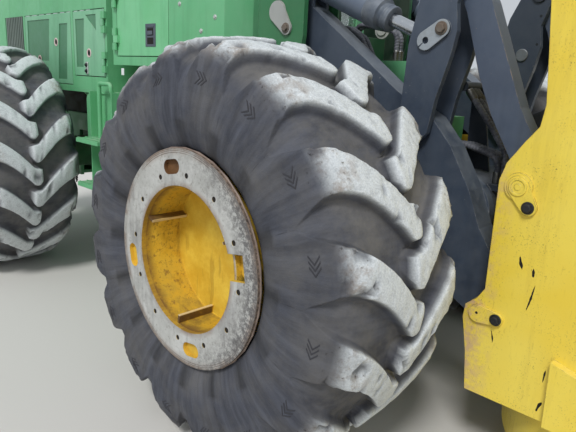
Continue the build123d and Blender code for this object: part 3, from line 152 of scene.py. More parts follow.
# Real orange peel and scratches are finer, and are drawn as coarse as they need to show.
ORANGE_PEEL_PER_M = 220.0
SCRATCHES_PER_M = (75.0, 30.0, 16.0)
SCRATCH_LEANS = (0.45, -0.6)
PRIMER_PER_M = 16.0
PRIMER_SHOWS = (0.99, 0.87)
PRIMER = "#c3a08c"
INSIDE_ARMS = 0.350
# Painted shade, nearly black, darkens enamels with inner shade everywhere nearer the middle than the arms'
# inner faces.
ARMS_GAP_SHADE = "#101215"
KINDS |= {
    # node: Blender's name for it, settings, the sockets that its values go to in order, the output used
    "place": ("ShaderNodeTexCoord", {}, (), "Object"),
    "normal": ("ShaderNodeNewGeometry", {}, (), "Normal"),
    "rounding": ("ShaderNodeBevel", {"samples": 4}, ("Radius",), 0),
    "noise": ("ShaderNodeTexNoise", {}, ("Vector", "Scale", "Detail", "Roughness"), "Fac"),
    "scale": ("ShaderNodeMapping", {}, ("Vector", "Scale", "Rotation"), 0),
    "range": ("ShaderNodeMapRange", {}, (0, 1, 2, 3, 4), 0),
    "mix": ("ShaderNodeMix", {"data_type": "RGBA"}, (0, 6, 7), 2),
    "bump": ("ShaderNodeBump", {}, ("Strength", "Distance", "Height", "Normal"), 0),
    "dent": ("ShaderNodeBump", {"invert": True}, ("Strength", "Distance", "Height", "Normal"), 0),
    "dot": ("ShaderNodeVectorMath", {"operation": "DOT_PRODUCT"}, (0, 1), "Value"),
    "length": ("ShaderNodeVectorMath", {"operation": "LENGTH"}, (0,), "Value"),
}
for output, kind in enumerate("xyz"):
    KINDS[kind] = ("ShaderNodeSeparateXYZ", {}, (0,), output)
for kind, work in (("times", "MULTIPLY"), ("most", "MAXIMUM"), ("less", "SUBTRACT"), ("size", "ABSOLUTE")):
    KINDS[kind] = ("ShaderNodeMath", {"operation": work}, (0, 1), 0)
ENAMELS = {
    # name: colour, faded, dust, dirty streaks and painted shade, chipped, further settings, the nodes it
    # covers
    "green_enamel": ("#5cae76", "#74bb8a", "#a9b8a0", "#33704a", "#8d8f82", {},
                     "rear_frame front_frame counterweight front_deck hood steps_and_handles "
                     "fuel_tanks cab_shell cab_roof cab_door"),
    "black_enamel": ("#1d1f20", "#2c2e2f", "#6b675f", "#0d0d0e", "#77716a", {}, "rear_grille work_lamps"),
    "axle_enamel_dirty": ("#1f5a33", "#356b45", "#7c7768", "#1c2a20", "#4c463c",
                          {"gloss": 0.6, "dust_share": 0.6}, "rear_axle front_axle"),
    "louvre_enamel": ("#5f6d65", "#77857b", "#9aa094", "#3d4842", "#8d8f82", {}, "side_louvres"),
    "door_enamel": ("#6ab083", "#86bf9a", "#b0bca8", "#2f6b48", "#8d8f82", {"pressed": 0.698},
                    "engine_shield_right engine_shield_left engine_door_right engine_door_left"),
    "service_door_enamel": ("#68bb80", "#84cc9b", "#b0bca8", "#3a7a52", "#8d8f82", {}, "service_door"),
    # The tower's enamel is a darker copy of the green enamel: painted shade for the tower behind the arms and
    # hoses.
    "tower_enamel_shaded": ("#2f6f45", "#3c8052", "#8a9680", "#1f4a2e", "#7d8074", {"grime": "#15281c"},
                     "lift_tower"),
    "slate_enamel": ("#3d4654", "#4b5767", "#949a9e", "#272c35", "#a9a9a4",
                     {"gloss": 0.38, "dust_share": 0.28, "grime": "#333b47"},
                     "lift_arms tilt_levers steer_barrel_right steer_barrel_left clamp_arm_right "
                     "clamp_arm_left accumulator_arm_right accumulator_arm_left"),
    "yellow_enamel": ("#eccd40", "#f3dc5c", "#d9c98c", "#a98a32", "#2a2724",
                      {"gloss": 0.36, "dust_share": 0.22, "chip_share": 0.85, "speckle": 0.55},
                      "head_frame saw_housing"),
    "barrel_enamel": ("#596474", "#6a7585", "#989ca1", "#323843", "#a9a9a4", {"gloss": 0.36},
                      "lift_cylinder_barrels tilt_cylinder_barrels"),
    "link_enamel": ("#475162", "#566274", "#949a9e", "#272c35", "#b79c78",
                    {"gloss": 0.38, "dust_share": 0.28, "chip_share": 0.95}, "tilt_links"),
    "keeper_zinc_worn": ("#9c9f9c", "#b3b4af", "#b1a995", "#55524c", "#4a4640", {"gloss": 0.5}, "tower_pins"),
}


def patches(add, place, per_metre, detail, rough, low, high, *ends):
    """Cloudy patches: noise stretched so that low to high becomes 0 to 1, or the two ends given."""
    return add("range", add("noise", place, per_metre, detail, rough), low, high, *ends)


def layers(add, colour, *marks):
    """Colours laid over each other from the bottom up. A mark is its colour and its shares, whose product
    says how much of it shows: each is a mask, a number, or a socket with the ends that become 0 and 1,
    or that become the two shares given after them."""
    for mark, *shares in marks:
        shares = [add("range", *share) if isinstance(share, tuple) else share for share in shares]
        product = shares[0]
        for share in shares[1:]:
            product = add("times", product, share)
        colour = add("mix", product, colour, mark)
    return colour


def painted_steel(name, colour, faded, dust, dirt_and_shade, chip, gloss=0.42, dust_share=0.35, chip_share=0.5,
                  pressed=None, speckle=0.0, grime=None):
    """Enamel that is faded in patches, marked with dirty streaks, dusty where it faces up, and chipped in
    struck areas and along edges. Panels pressed in behind a distance from the middle are darkened with
    painted shade, as are inner sides and, more, the space between the arms; a speckled plate is scratched,
    with primer rubbed bare towards its rear."""
    material, add = new_material(name)
    place, normal = add("place"), add("normal")
    off_middle = add("size", add("y", place))
    soft = add("rounding", EDGE_RADIUS)
    edge = add("range", add("dot", soft, normal), 0.995, 0.90)
    marks = [(faded, patches(add, place, FADING_PER_M, 5.0, 0.6, 0.35, 0.68))]
    # Panels pressed in deeper than this distance from the middle take the streaks' colour as painted shade.
    if pressed:
        marks.append((dirt_and_shade, (off_middle, pressed + 0.001, pressed - 0.001, 0.0, 0.75)))
    marks.append((dirt_and_shade, patches(add, add("scale", place, STREAKS_PER_M), 1.0, 6.0, 0.7, 0.50, 0.72), 0.28))
    # Painted shade: faces that look in towards the middle are darkened, and everything between the arms more
    # so.
    if grime:
        inward = add("times", add("y", normal), add("y", place))
        marks.append((grime, (inward, -0.05, -0.14, 0.0, 0.85)))
        marks.append((ARMS_GAP_SHADE, (off_middle, INSIDE_ARMS + 0.004, INSIDE_ARMS, 0.0, 0.6)))
    mottle = patches(add, place, MOTTLE_PER_M, 8.0, 0.7, 0.36, 0.66)
    marks.append((dust, (add("z", normal), 0.05, 0.85, 0.12, 1.0), mottle, dust_share * 1.8))
    struck = patches(add, place, STRUCK_AREAS_PER_M, 3.0, 0.6, 0.50, 0.62)
    chips = add("times", patches(add, place, CHIPS_PER_M, 5.0, 0.7, 0.66, 0.70), struck)
    rubbed = add("times", edge, patches(add, place, RUBBING_PER_M, 5.0, 0.6, 0.44, 0.60))
    chips = add("most", chips, rubbed)
    if speckle:
        dots = patches(add, place, SPECKLE_PER_M, 3.0, 0.6, 0.60, 0.66)
        clouds = patches(add, place, SPECKLE_CLOUDS_PER_M, 5.0, 0.6, 0.42, 0.66)
        chips = add("most", chips, add("times", add("times", dots, clouds), speckle))
        for lean in SCRATCH_LEANS:
            leant = add("scale", place, SCRATCHES_PER_M, (0, lean, 0))
            scratches = patches(add, leant, 1.0, 5.0, 0.7, 0.60, 0.67, 0.0, 0.42)
            marks.append((dirt_and_shade, scratches, (clouds, 0.0, 1.0, 0.35, 1.0)))
        marks.append((PRIMER, (add("x", place), *[AXLE_X + at for at in PRIMER_SHOWS]),
                      patches(add, place, PRIMER_PER_M, 7.0, 0.75, 0.46, 0.60, 0.0, 0.75)))
    marks.append((chip, chips, chip_share))
    peel = add("noise", place, ORANGE_PEEL_PER_M, 2.0, 0.6)
    add("output", add("surface", Base_Color=layers(add, colour, *marks),
                      Roughness=add("range", mottle, 0.0, 1.0, gloss - 0.08, gloss + 0.22),
                      Normal=add("bump", 0.10, 0.002, peel, soft)))
    return material


def finish_nodes(names, material):
    """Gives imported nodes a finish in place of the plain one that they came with."""
    for name in names.split():
        nodes[name].data.materials.clear()
        nodes[name].data.materials.append(material)


paints = {}
for name, (*colours, settings, covered) in ENAMELS.items():
    paints[name] = painted_steel(name, *colours, **settings)
    finish_nodes(covered, paints[name])

# Bare and bright metal: chromed cylinder rods, the saw's plain steel disc, the engine's
# painted castings and the heat-stained exhaust. Fine turning marks catch the light, and are drawn
# 6 mm apart, coarser than real ones, so that they show.
STAINS_PER_M = 9.0
TURNING_MARKS_PER_M = 160.0
METALS = [
    # name, colour, stain, roughness, share of the stain, metallic, the nodes made of it
    ("hard_chrome", "#c9cdd2", "#a9a294", 0.12, 0.25, 1.0,
     "lift_cylinder_rods tilt_cylinder_rods steer_rod_right steer_rod_left"),
    ("saw_plate_steel", "#84817c", "#5f4a38", 0.38, 0.5, 1.0, "saw_disc"),
    ("engine_casting", "#3a3d3b", "#5b4c3d", 0.65, 0.5, 0.3, "engine_block"),
    ("exhaust_pipe_steel", "#6a625b", "#70452c", 0.5, 0.7, 0.7, "exhaust_stack"),
]


def bare_metal(name, colour, stain, rough, stain_share, metallic=0.0):
    """Metal with fine turning marks and patches of stain, which are also duller."""
    material, add = new_material(name)
    place = add("place")
    stained = patches(add, place, STAINS_PER_M, 7.0, 0.7, 0.42, 0.70)
    marks = add("noise", place, TURNING_MARKS_PER_M, 3.0, 0.6)
    dull = add("range", stained, 0.0, 1.0, rough, min(rough + 0.3, 0.95))
    add("output", add("surface", Base_Color=layers(add, colour, (stain, stained, stain_share)),
                      Metallic=metallic, Roughness=dull,
                      Normal=add("bump", 0.06, 0.001, marks, add("rounding", EDGE_RADIUS))))
    return material


for *look, covered in METALS:
    finish_nodes(covered, bare_metal(*look))

# Windows: flat tempered glass with a light grey-green tint and a film of dust, which makes
# it paler and duller in patches.
DUST_FILM_PER_M = 4.0
glass, add = new_material("window_glass_tinted")
film = patches(add, add("place"), DUST_FILM_PER_M, 6.0, 0.7, 0.4, 0.75)
add("output", add("surface", Base_Color=layers(add, "#9db3ab", ("#b9beb4", film)), Transmission_Weight=0.9,
                  IOR=1.5, Roughness=add("range", film, 0.0, 1.0, 0.02, 0.25), Alpha=0.45))
finish_nodes("cab_glass cab_door_glass", glass)

# Tyres: worn forestry tyres of black rubber, moulded with deep curved bars on each side
# that meet in a V at the middle. The bars' tops are scuffed pale and torn by stumps, and
# dried mud fills the space between them.
TYRES = [
    # wheel, side, fine mesh, noise seed
    ("front_right", -1, True, 11),
    ("front_left", 1, False, 23),
    ("rear_right", -1, False, 37),
    ("rear_left", 1, False, 41),
]
TYRE_WIDE = 0.3865
CARCASS = [
    # radius and distance out from the middle of the tyre, from the bead to the crown
    (0.452, 0.330), (0.480, 0.350), (0.530, 0.369), (0.600, 0.380), (0.680, 0.377), (0.745, 0.356),
    (0.790, 0.321), (0.822, 0.275), (0.838, 0.205), (0.845, 0.100), (0.847, 0.000),
]
CARCASS_POINTS = 1200
CARCASS_WINDOW = 90
ROWS_FINE, ROWS_PLAIN = 124, 76
BAR_RADIUS, BAR_SHARE, BAR_HALF_W = np.array([
    # radius, share of the bars' height there, half width of their tops
    (0.690, 0.00, 0.124),
    (0.722, 0.12, 0.112),
    (0.760, 0.42, 0.095),
    (0.790, 0.76, 0.078),
    (0.822, 1.05, 0.066),
    (0.838, 1.00, 0.060),
]).T
BARS = 16
PITCH = 2 * pi / BARS
BAR_FIRST = radians(-102.1)
BAR_SWEEP = radians(15.5)
BAR_SWEEP_FROM = 0.315
BAR_HEIGHT = 0.0625
BAR_OVER = 0.032
BAR_END = 0.016
BAR_TIP_HALF_W = 0.055
BAR_ROUND = 0.012
BAR_WALL = 0.016
BAR_FOOT = 0.012
TORN_DEPTH = 0.034
COLUMN_KEYS = np.array([0.0, 0.17, 0.24, 0.32, 0.40, 0.60, 0.68, 0.76, 0.83, 1.0])
COLUMN_HEIGHTS = np.array([1.0, 0.99, 0.93, 0.09, 0.0, 0.0, 0.0, 0.0, 0.0, 0.0])
COLUMNS_FINE = (2, 3, 5, 2, 3, 2, 5, 3, 2)
COLUMNS_PLAIN = (1, 2, 2, 1, 2, 1, 2, 2, 1)
# Black rubber, greyed by rubbing and dust, and pale and pitted where it is worn and torn. Its grit of
# 7 mm is coarser than real grit, so that it shows.
GRIT_PER_M = 150.0
for label, output in (("wear", "Fac"), ("mud", "Fac"), ("tear", "Fac"), ("polar", "Vector")):
    KINDS[label] = ("ShaderNodeAttribute", {"attribute_name": label}, (), output)
tyre_rubber, add = new_material("tyre_rubber_worn")
place = add("place")
grit = add("noise", place, GRIT_PER_M, 5.0, 0.75)
rub_streaks = patches(add, add("scale", add("polar"), (26.0, 3.0, 5.0)), 1.0, 7.0, 0.65, 0.38, 0.70)
rubbed = patches(add, place, 5.0, 6.0, 0.65, 0.38, 0.68)
pits = add("times", add("tear"), patches(add, place, 52.0, 6.0, 0.8, 0.63, 0.69))
earthy = patches(add, place, 13.0, 6.0, 0.7, 0.46, 0.60, 0.0, 0.75)
scuffed = layers(add, "#bcc1c3", ("#dfe3e4", (grit, 0.35, 0.65)), ("#97897c", add("tear"), earthy))
rubber = layers(add, "#3b3d45", ("#565963", rub_streaks), ("#6d6a66", rubbed, 0.5),
                ("#76736f", add("mud"), (rubbed, 0, 1, 0.15, 0.75)),
                (scuffed, add("wear"), patches(add, place, 30.0, 7.0, 0.75, 0.26, 0.50, 0.62, 1.0)),
                ("#39342f", pits, 0.8))
bump = add("bump", 0.5, 0.004, grit)
bump = add("bump", 0.25, 0.010, add("noise", place, 26.0, 6.0, 0.7), bump)
bump = add("dent", 0.8, 0.010, pits, bump)
add("output", add("surface", Base_Color=rubber, Roughness=0.82, Normal=bump, Specular_IOR_Level=0.35))


def surface_mesh(name, points, faces, slot, body, material, smooth=True):
    """Makes one piece from arrays of points and faces, and gives it its body and material. Its slot is not
    used.
    """
    mesh = bpy.data.meshes.new(name)
    mesh.from_pydata(np.reshape(points, (-1, 3)).tolist(), [], faces.tolist())
    mesh.polygons.foreach_set("use_smooth", np.full(len(mesh.polygons), smooth))
    mesh.materials.append(material)
    piece = put(name, mesh)
    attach(piece, body)
    return piece


def grid_faces(rows, columns, wrap_columns=False):
    """Quads of a grid of points, rows by columns, each from a point, the next in its row and the two in
    the row after them. The columns are closed on themselves or not."""
    r = np.arange(rows - 1)[:, None]
    c = np.arange(columns if wrap_columns else columns - 1)[None, :]
    r1, c1 = r + 1, (c + 1) % columns
    quads = np.stack([r * columns + c, r * columns + c1, r1 * columns + c1, r1 * columns + c], -1)
    return quads.reshape(-1, 4)


def ease(values, low, high):
    """Smooth 0 to 1 as values go from low to high: three times the square less twice the cube."""
    t = np.clip((values - low) / (high - low), 0, 1)
    return t * t * (3 - 2 * t)


def lumps(points, size, seed, waves=26):
    """Smooth noise from -1 to 1: a sum of sine waves of random direction, about size metres long."""
    rng = np.random.default_rng(seed)
    ways = rng.normal(size=(waves, 3))
    ways *= (2 * pi / size) * rng.uniform(0.6, 1.7, (waves, 1)) / np.linalg.norm(ways, axis=1, keepdims=True)
    phases = rng.uniform(0, 2 * pi, waves)
    total = np.zeros(points.shape[:-1])
    for way, phase in zip(ways, phases):
        total += np.sin(points @ way + phase)
    return total / np.sqrt(waves / 2) / 1.6


def run_along(line):
    """The distance along a line of points, from its first point to each."""
    return np.concatenate([[0], np.cumsum(np.linalg.norm(np.diff(line, axis=0), axis=1))])


def spaced(line, count):
    """A line's points again, count of them at equal distances, after the distance along it to each."""
    run = run_along(line)
    want = np.linspace(0, run[-1], count)
    return want, np.stack([np.interp(want, run, line[:, k]) for k in (0, 1)], -1)


def carcass_line(count):
    """The carcass from the inner bead over the crown to the outer bead, rounded by a moving average,
    and its outward normals."""
    half = np.array(CARCASS)
    line = spaced(np.concatenate([half * (1, -1), half[-2::-1]]), CARCASS_POINTS)[1]
    line = np.concatenate([np.repeat(line[:1], CARCASS_WINDOW, 0), line,
                           np.repeat(line[-1:], CARCASS_WINDOW, 0)])
    kernel = np.hanning(2 * CARCASS_WINDOW + 1)
    kernel /= kernel.sum()
    line = spaced(np.stack([np.convolve(line[:, k], kernel, "valid") for k in (0, 1)], -1), count)[1]
    along = np.gradient(line, axis=0)
    normal = np.stack([along[:, 1], -along[:, 0]], -1)
    return line, normal / np.linalg.norm(normal, axis=1, keepdims=True)


def bar_marks(line, sign):
    """Half widths in metres of one side's bars in each row: where the top rounds off, its edge,
    the foot of the wall and the end of the fillet. Past the middle of the tyre they shrink away."""
    radius, out = line[:, 0], line[:, 1] * sign
    own = ease(out, -0.080, 0.0)
    on_wall = np.interp(radius, BAR_RADIUS, BAR_HALF_W)
    on_tread = np.interp(np.abs(out), [0.0, 0.205], [BAR_TIP_HALF_W, BAR_HALF_W[-1]])
    share = np.interp(radius, BAR_RADIUS, BAR_SHARE)
    top = np.where(radius < BAR_RADIUS[-1], on_wall, on_tread) * own + 0.003
    edge = top - np.minimum(BAR_ROUND, 0.4 * top)
    foot = top + 0.001 + BAR_WALL * own * (0.25 + 0.75 * share)
    return np.stack([edge, top, foot, foot + 0.001 + BAR_FOOT * own * share], -1)


def wheel_middle(wheel):
    """The middle of a wheel: its axle's x and z, and its tyre's y."""
    low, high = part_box("rim_" + wheel)
    tyre_low, tyre_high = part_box("tyre_" + wheel)
    return np.array([(low.x + high.x) / 2, (tyre_low.y + tyre_high.y) / 2, (low.z + high.z) / 2])


def tyre_mesh(wheel, side, fine, seed):
    """A tyre as one grid. Its columns follow the bars, so that their walls stay crisp: across
    each bar's pitch the column angles are stretched to the bar's edges in that row, and each
    row is turned by the bars' sweep. The height over the carcass is the bar's height times a
    profile across the bar and one along it, less chunks where smooth noise passes a level."""
    line, normal = carcass_line(ROWS_FINE if fine else ROWS_PLAIN)
    radius, out = line[:, :1], line[:, 1:]
    half = PITCH / 2
    steps = COLUMNS_FINE if fine else COLUMNS_PLAIN
    spans = list(zip(COLUMN_KEYS[:-1], COLUMN_KEYS[1:]))
    parts = [np.linspace(*span, count, endpoint=False) for span, count in zip(spans, steps)]
    half_line = np.append(np.concatenate(parts), 1.0)
    across = np.concatenate([half_line, 2 - half_line[-2:0:-1]])
    fold = np.where(across <= 1, across, 2 - across)
    own, far = [bar_marks(line, sign) / radius for sign in (1, -1)]
    zero = np.zeros_like(radius)
    marks = np.concatenate([zero, own, half - far[:, ::-1], zero + half], 1)
    marks = np.maximum.accumulate(np.minimum(marks, half), axis=1)
    angle = np.zeros((len(line), len(across)))
    for k, (start, end) in enumerate(spans):
        share = np.clip((fold - start) / (end - start), 0, 1)[None, :]
        angle += share * (marks[:, k + 1] - marks[:, k])[:, None]
    angle = np.where(across[None, :] <= 1, angle, 2 * half - angle)
    reach = np.interp(radius[:, 0], BAR_RADIUS, BAR_SHARE)
    bars = []
    for sign, heights in ((1, COLUMN_HEIGHTS), (-1, COLUMN_HEIGHTS[::-1])):
        along = reach * ease(sign * out[:, 0], -BAR_OVER - BAR_END, -BAR_OVER + 0.008)
        bars.append(along[:, None] * np.interp(fold, COLUMN_KEYS, heights))
    height = BAR_HEIGHT * np.maximum(*bars)
    place = np.abs(out)
    turn = BAR_SWEEP * np.clip((BAR_SWEEP_FROM - place) / (BAR_SWEEP_FROM - 0.02), 0, 1) ** 1.45
    whole = (angle + turn)[:, None, :] + PITCH * np.arange(BARS)[None, :, None] + BAR_FIRST
    whole = whole.reshape(len(line), -1)
    height = np.tile(height, (1, BARS))
    flat = np.ones_like(whole)
    spot = np.stack([radius * np.sin(whole), out * flat, radius * np.cos(whole)], -1)
    raised = ease(height, 0.35 * BAR_HEIGHT, 0.92 * BAR_HEIGHT)
    shoulder = ease(place, 0.19, 0.27) * ease(-place, -0.352, -0.325) * flat
    torn = np.clip(lumps(spot, 0.085, seed) + 0.5 * lumps(spot, 0.040, seed + 1) - 0.95
                   + 0.55 * shoulder, 0, 0.6)
    edge_zone = ease(height, 0.25 * BAR_HEIGHT, 0.8 * BAR_HEIGHT)
    top = ease(height, 0.62 * BAR_HEIGHT, 0.95 * BAR_HEIGHT)
    height = height - torn * TORN_DEPTH * edge_zone
    height = height + (0.0014 + 0.0022 * shoulder) * lumps(spot, 0.045, seed + 2) * (0.2 + raised)
    worn_low = ease(radius * flat, 0.775, 0.825)
    reached = radius + height * normal[:, :1]
    wide = np.clip(out + height * normal[:, 1:], -TYRE_WIDE, TYRE_WIDE)
    points = np.stack([reached * np.sin(whole), side * wide, reached * np.cos(whole)], -1)
    faces = grid_faces(len(line), whole.shape[1], wrap_columns=True)[:, ::-side]
    marks = {
        "wear": (0.25 * raised + 0.75 * top) * worn_low * (1 - 0.75 * np.clip(torn * 3, 0, 1)),
        "mud": ease(-height, -0.30 * BAR_HEIGHT, 0.0) * ease(radius * flat, 0.76, 0.83),
        "tear": shoulder * edge_zone,
    }
    return wheel_middle(wheel) + points, faces, marks, np.stack([whole * 0.6, reached * flat, wide], -1)


for wheel, side, fine, seed in TYRES:
    points, faces, marks, polar = tyre_mesh(wheel, side, fine, seed)
    tyre = surface_mesh("rubber_" + wheel, points, faces, "tyre_rubber", "wheel_" + wheel, tyre_rubber)
    for label, values in marks.items():
        layer = tyre.data.attributes.new(label, "FLOAT", "POINT")
        layer.data.foreach_set("value", values.ravel().astype(np.float32))
    layer = tyre.data.attributes.new("polar", "FLOAT_VECTOR", "POINT")
    layer.data.foreach_set("vector", polar.ravel().astype(np.float32))
    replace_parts(tyre, "tyre_" + wheel)

# Chevrons: three nested arrows moulded into the foot of each bar show the way to roll.
# They stand a little proud of the side wall, and their dark rubber is painted shade, standing in for moulded
# grooves.
CHEVRON_R = 0.742
CHEVRON_HALF_W = 0.024
CHEVRON_ARM = 0.028
CHEVRON_STEP = 0.019
CHEVRON_STROKE = 0.007
CHEVRON_PROUD = 0.0015
CHEVRON_SUNK = -0.004
CHEVRON_STATIONS = 5
SIDE_WALL_FROM = 0.30
# Dark rubber for the chevrons, painted shade of moulded grooves, with a faint mottle.
chevron_shade_rubber, add = new_material("tyre_rubber_moulded_mark")
add("output", add("surface", Roughness=0.85, Base_Color=layers(
    add, "#2a2a2e", ("#414147", add("noise", add("place"), 60.0, 4.0, 0.6)))))


def joined(grids, columns, wrap_columns=True, flip=False):
    """Several grids of points with like columns as one piece's points and faces."""
    grids = [np.reshape(grid, (-1, 3)) for grid in grids]
    starts = np.cumsum([0] + [len(grid) for grid in grids])
    faces = np.concatenate([grid_faces(len(grid) // columns, columns, wrap_columns) + start
                            for grid, start in zip(grids, starts)])
    return np.concatenate(grids), faces[:, ::-1] if flip else faces


def chevron_strips():
    """Thin strips, four corners at each station, bent over the bar's face: a station lies at a
    radius and an angle, and its distance out is read from the bar's own profile."""
    line, normal = carcass_line(400)
    face = line + (BAR_HEIGHT * np.interp(line[:, 0], BAR_RADIUS, BAR_SHARE))[:, None] * normal
    outer = face[line[:, 1] > SIDE_WALL_FROM]
    outer = outer[np.argsort(outer[:, 0])]
    bar, row, arm, t = np.meshgrid(np.arange(BARS), np.arange(3), (-1, 1),
                                   np.linspace(0, 1, CHEVRON_STATIONS), indexing="ij")
    radius = CHEVRON_R + arm * CHEVRON_HALF_W * t
    corners = []
    for lift, push in ((CHEVRON_SUNK, 0), (CHEVRON_PROUD, 0), (CHEVRON_PROUD, 1), (CHEVRON_SUNK, 1)):
        around = (1 - row) * CHEVRON_STEP - CHEVRON_ARM * t - push * CHEVRON_STROKE
        angle = BAR_FIRST + PITCH * bar + around / CHEVRON_R
        out = np.interp(radius, outer[:, 0], outer[:, 1]) + lift
        corners.append(np.stack([radius * np.sin(angle), out, radius * np.cos(angle)], -1))
    return np.stack(corners, -2).reshape(-1, CHEVRON_STATIONS, 4, 3)


strips = chevron_strips()
strips = np.concatenate([strips, strips * (1, -1, 1)])
for wheel, side, *_ in TYRES:
    surface_mesh("chevrons_" + wheel, *joined(strips * (1, side, 1) + wheel_middle(wheel), 4), "tyre_rubber",
                 "wheel_" + wheel, chevron_shade_rubber, smooth=False)

# Wheels: a rolled rim with a bolted outer ring, scoured to pale primer, round a deep
# yellow drum that holds dirt and rust at its bottom. The ring's hand holes and notch are cut
# to their full size, so that the yellow enamel behind them catches the light.
LIP_GROOVES = (0.4435, 0.4515, 0.4580)
GROOVE_DARK = (0.0022, 0.0008)
RIB_TIP_R = 0.271
HAND_HOLE_WAYS = (-11.0, 170.5, 259.0)
HAND_HOLE_REACH = 0.387
HAND_HOLE_LONG = 0.108
HAND_HOLE_WIDE = 0.060
NOTCH_WAY = 80.0
NOTCH_REACH = (0.290, 0.390)
NOTCH_HALF = 0.052
RING_FROM, RING_TO = 1.5185, 1.5480
FLAT_NORMAL = 0.9999
SHARP_FROM = radians(28)


def wheel_finish(name, axle_x):
    """The ring's face is pale scoured metal with rusty edges, and the drum behind it yellow enamel, dirty at
    its bottom, with painted shade near its top and a painted highlight along its ribs' free edges. Where each
    mark lies follows from its reach from the axle, its distance out, its height and noise."""
    material, add = new_material(name)
    place = add("place")
    forward, out, height = add("x", place), add("size", add("y", place)), add("z", place)
    reach = add("length", add("scale", place, (1.0, 0.0, 1.0), Location=(-axle_x, 0, -AXLE_Z)))
    coarse = add("noise", place, 7.0, 8.0, 0.72)
    fine = add("noise", place, 60.0, 6.0, 0.75)
    smears = add("scale", place, (14.0, 14.0, 3.0))
    in_opening = add("range", add("size", add("y", add("normal"))), 0.7, 0.3)
    rim_edge = add("most", add("range", reach, 0.425, 0.462), add("range", reach, 0.335, 0.310))
    hole = layers(add, "#d9b23c", ("#6b4a2c", (height, AXLE_Z + 0.28, AXLE_Z + 0.30)))
    edge = layers(add, "#4b413b", ("#8f7c6c", (fine, 0.40, 0.60)))
    grooves = [("#4d3d34", (add("size", add("less", reach, groove)), *GROOVE_DARK),
                (coarse, 0.36, 0.54, 0.1, 0.75)) for groove in LIP_GROOVES]
    ring = layers(add, "#a5a5a0", ("#c3c3bf", (coarse, 0.36, 0.64)), ("#6d665b", (fine, 0.56, 0.66), 0.55),
                  ("#7a5c41", rim_edge, (coarse, 0.40, 0.56), 0.75),
                  ("#6f6d6c", patches(add, smears, 1.0, 7.0, 0.7, 0.52, 0.66), 0.5),
                  (hole, in_opening, (reach, 0.452, 0.447)), *grooves,
                  ("#504e4f", (forward, axle_x - 0.05, axle_x + 0.36, 0.0, 0.8), (reach, 0.34, 0.42),
                   (fine, 0.40, 0.54)),
                  (edge, in_opening, (reach, 0.452, 0.457)))
    on_wall = add("range", out, 1.336, 1.345)
    # The drum wall is dirty at its bottom and darkened with painted shade near its top, where it faces down;
    # it is also darker in patches near the disc.
    low_or_high = add("most", add("range", height, AXLE_Z - 0.05, AXLE_Z - 0.30),
                      add("range", height, AXLE_Z + 0.10, AXLE_Z + 0.24, 0.0, 0.9))
    dirt_and_shade = add("most", add("times", low_or_high, add("times", on_wall, add("range", coarse, 0.40, 0.60))),
               add("times", on_wall, add("range", fine, 0.54, 0.66)))
    near_disc = add("times", add("range", out, 1.375, 1.340), add("range", fine, 0.40, 0.60))
    dirt_and_shade = add("most", dirt_and_shade, add("times", add("times", on_wall, near_disc), 0.8))
    colour = layers(add, "#d6ab2c", ("#ecca4a", (coarse, 0.40, 0.66)), ("#5f4426", dirt_and_shade, 0.7),
                    ("#6a4a2a", (out, 1.475, 1.515), (coarse, 0.36, 0.52, 0.2, 0.85), (reach, 0.316, 0.312)),
                    ("#7d5a30", on_wall, patches(add, place, 24.0, 7.0, 0.75, 0.55, 0.63, 0.0, 0.75)),
                    ("#8a6414", patches(add, smears, 1.0, 3.0, 0.6, 0.58, 0.64, 0.0, 0.35)),
                    # The pale line along the ribs' free edges is a painted highlight.
                    ("#dcc79a", on_wall, (reach, RIB_TIP_R + 0.003, RIB_TIP_R + 0.001), 0.85),
                    ("#5b4228", on_wall, (reach, 0.3075, 0.3055), (coarse, 0.34, 0.50, 0.35, 0.9),
                     (reach, RIB_TIP_R + 0.001, RIB_TIP_R + 0.004)),
                    (ring, (out, 1.517, 1.519), (reach, 0.3095, 0.311)))
    add("output", add("surface", Base_Color=colour, Roughness=add("range", fine, 0.3, 0.7, 0.45, 0.75),
                      Normal=add("bump", 0.25, 0.002, fine, add("rounding", EDGE_RADIUS))))
    return material


def opening_outlines():
    """The openings seen square to the ring, as points in x and z from the axle: two half circles joined
    by straight edges for a hand hole, four corners for the notch, each turned round the axle."""
    turn = np.linspace(0, pi, 12)
    straight = (HAND_HOLE_LONG - HAND_HOLE_WIDE) / 2
    round_end = HAND_HOLE_WIDE / 2 * np.stack([np.sin(turn), np.cos(turn)], -1) + (straight, 0)
    hand_hole = np.concatenate([round_end, -round_end]) + (0, HAND_HOLE_REACH)
    notch = np.array([(NOTCH_HALF, NOTCH_REACH[1]), (NOTCH_HALF, NOTCH_REACH[0]),
                      (-NOTCH_HALF, NOTCH_REACH[0]), (-NOTCH_HALF, NOTCH_REACH[1])])
    for way, outline in [(NOTCH_WAY, notch)] + [(way, hand_hole) for way in HAND_HOLE_WAYS]:
        a = radians(way)
        yield np.stack([outline[:, 0] * cos(a) + outline[:, 1] * sin(a),
                        outline[:, 1] * cos(a) - outline[:, 0] * sin(a)], -1)


def modified(thing, modifier):
    """The mesh that a thing has with its modifier, which is then taken off."""
    mesh = bpy.data.meshes.new_from_object(thing.evaluated_get(bpy.context.evaluated_depsgraph_get()))
    thing.modifiers.remove(modifier)
    return mesh


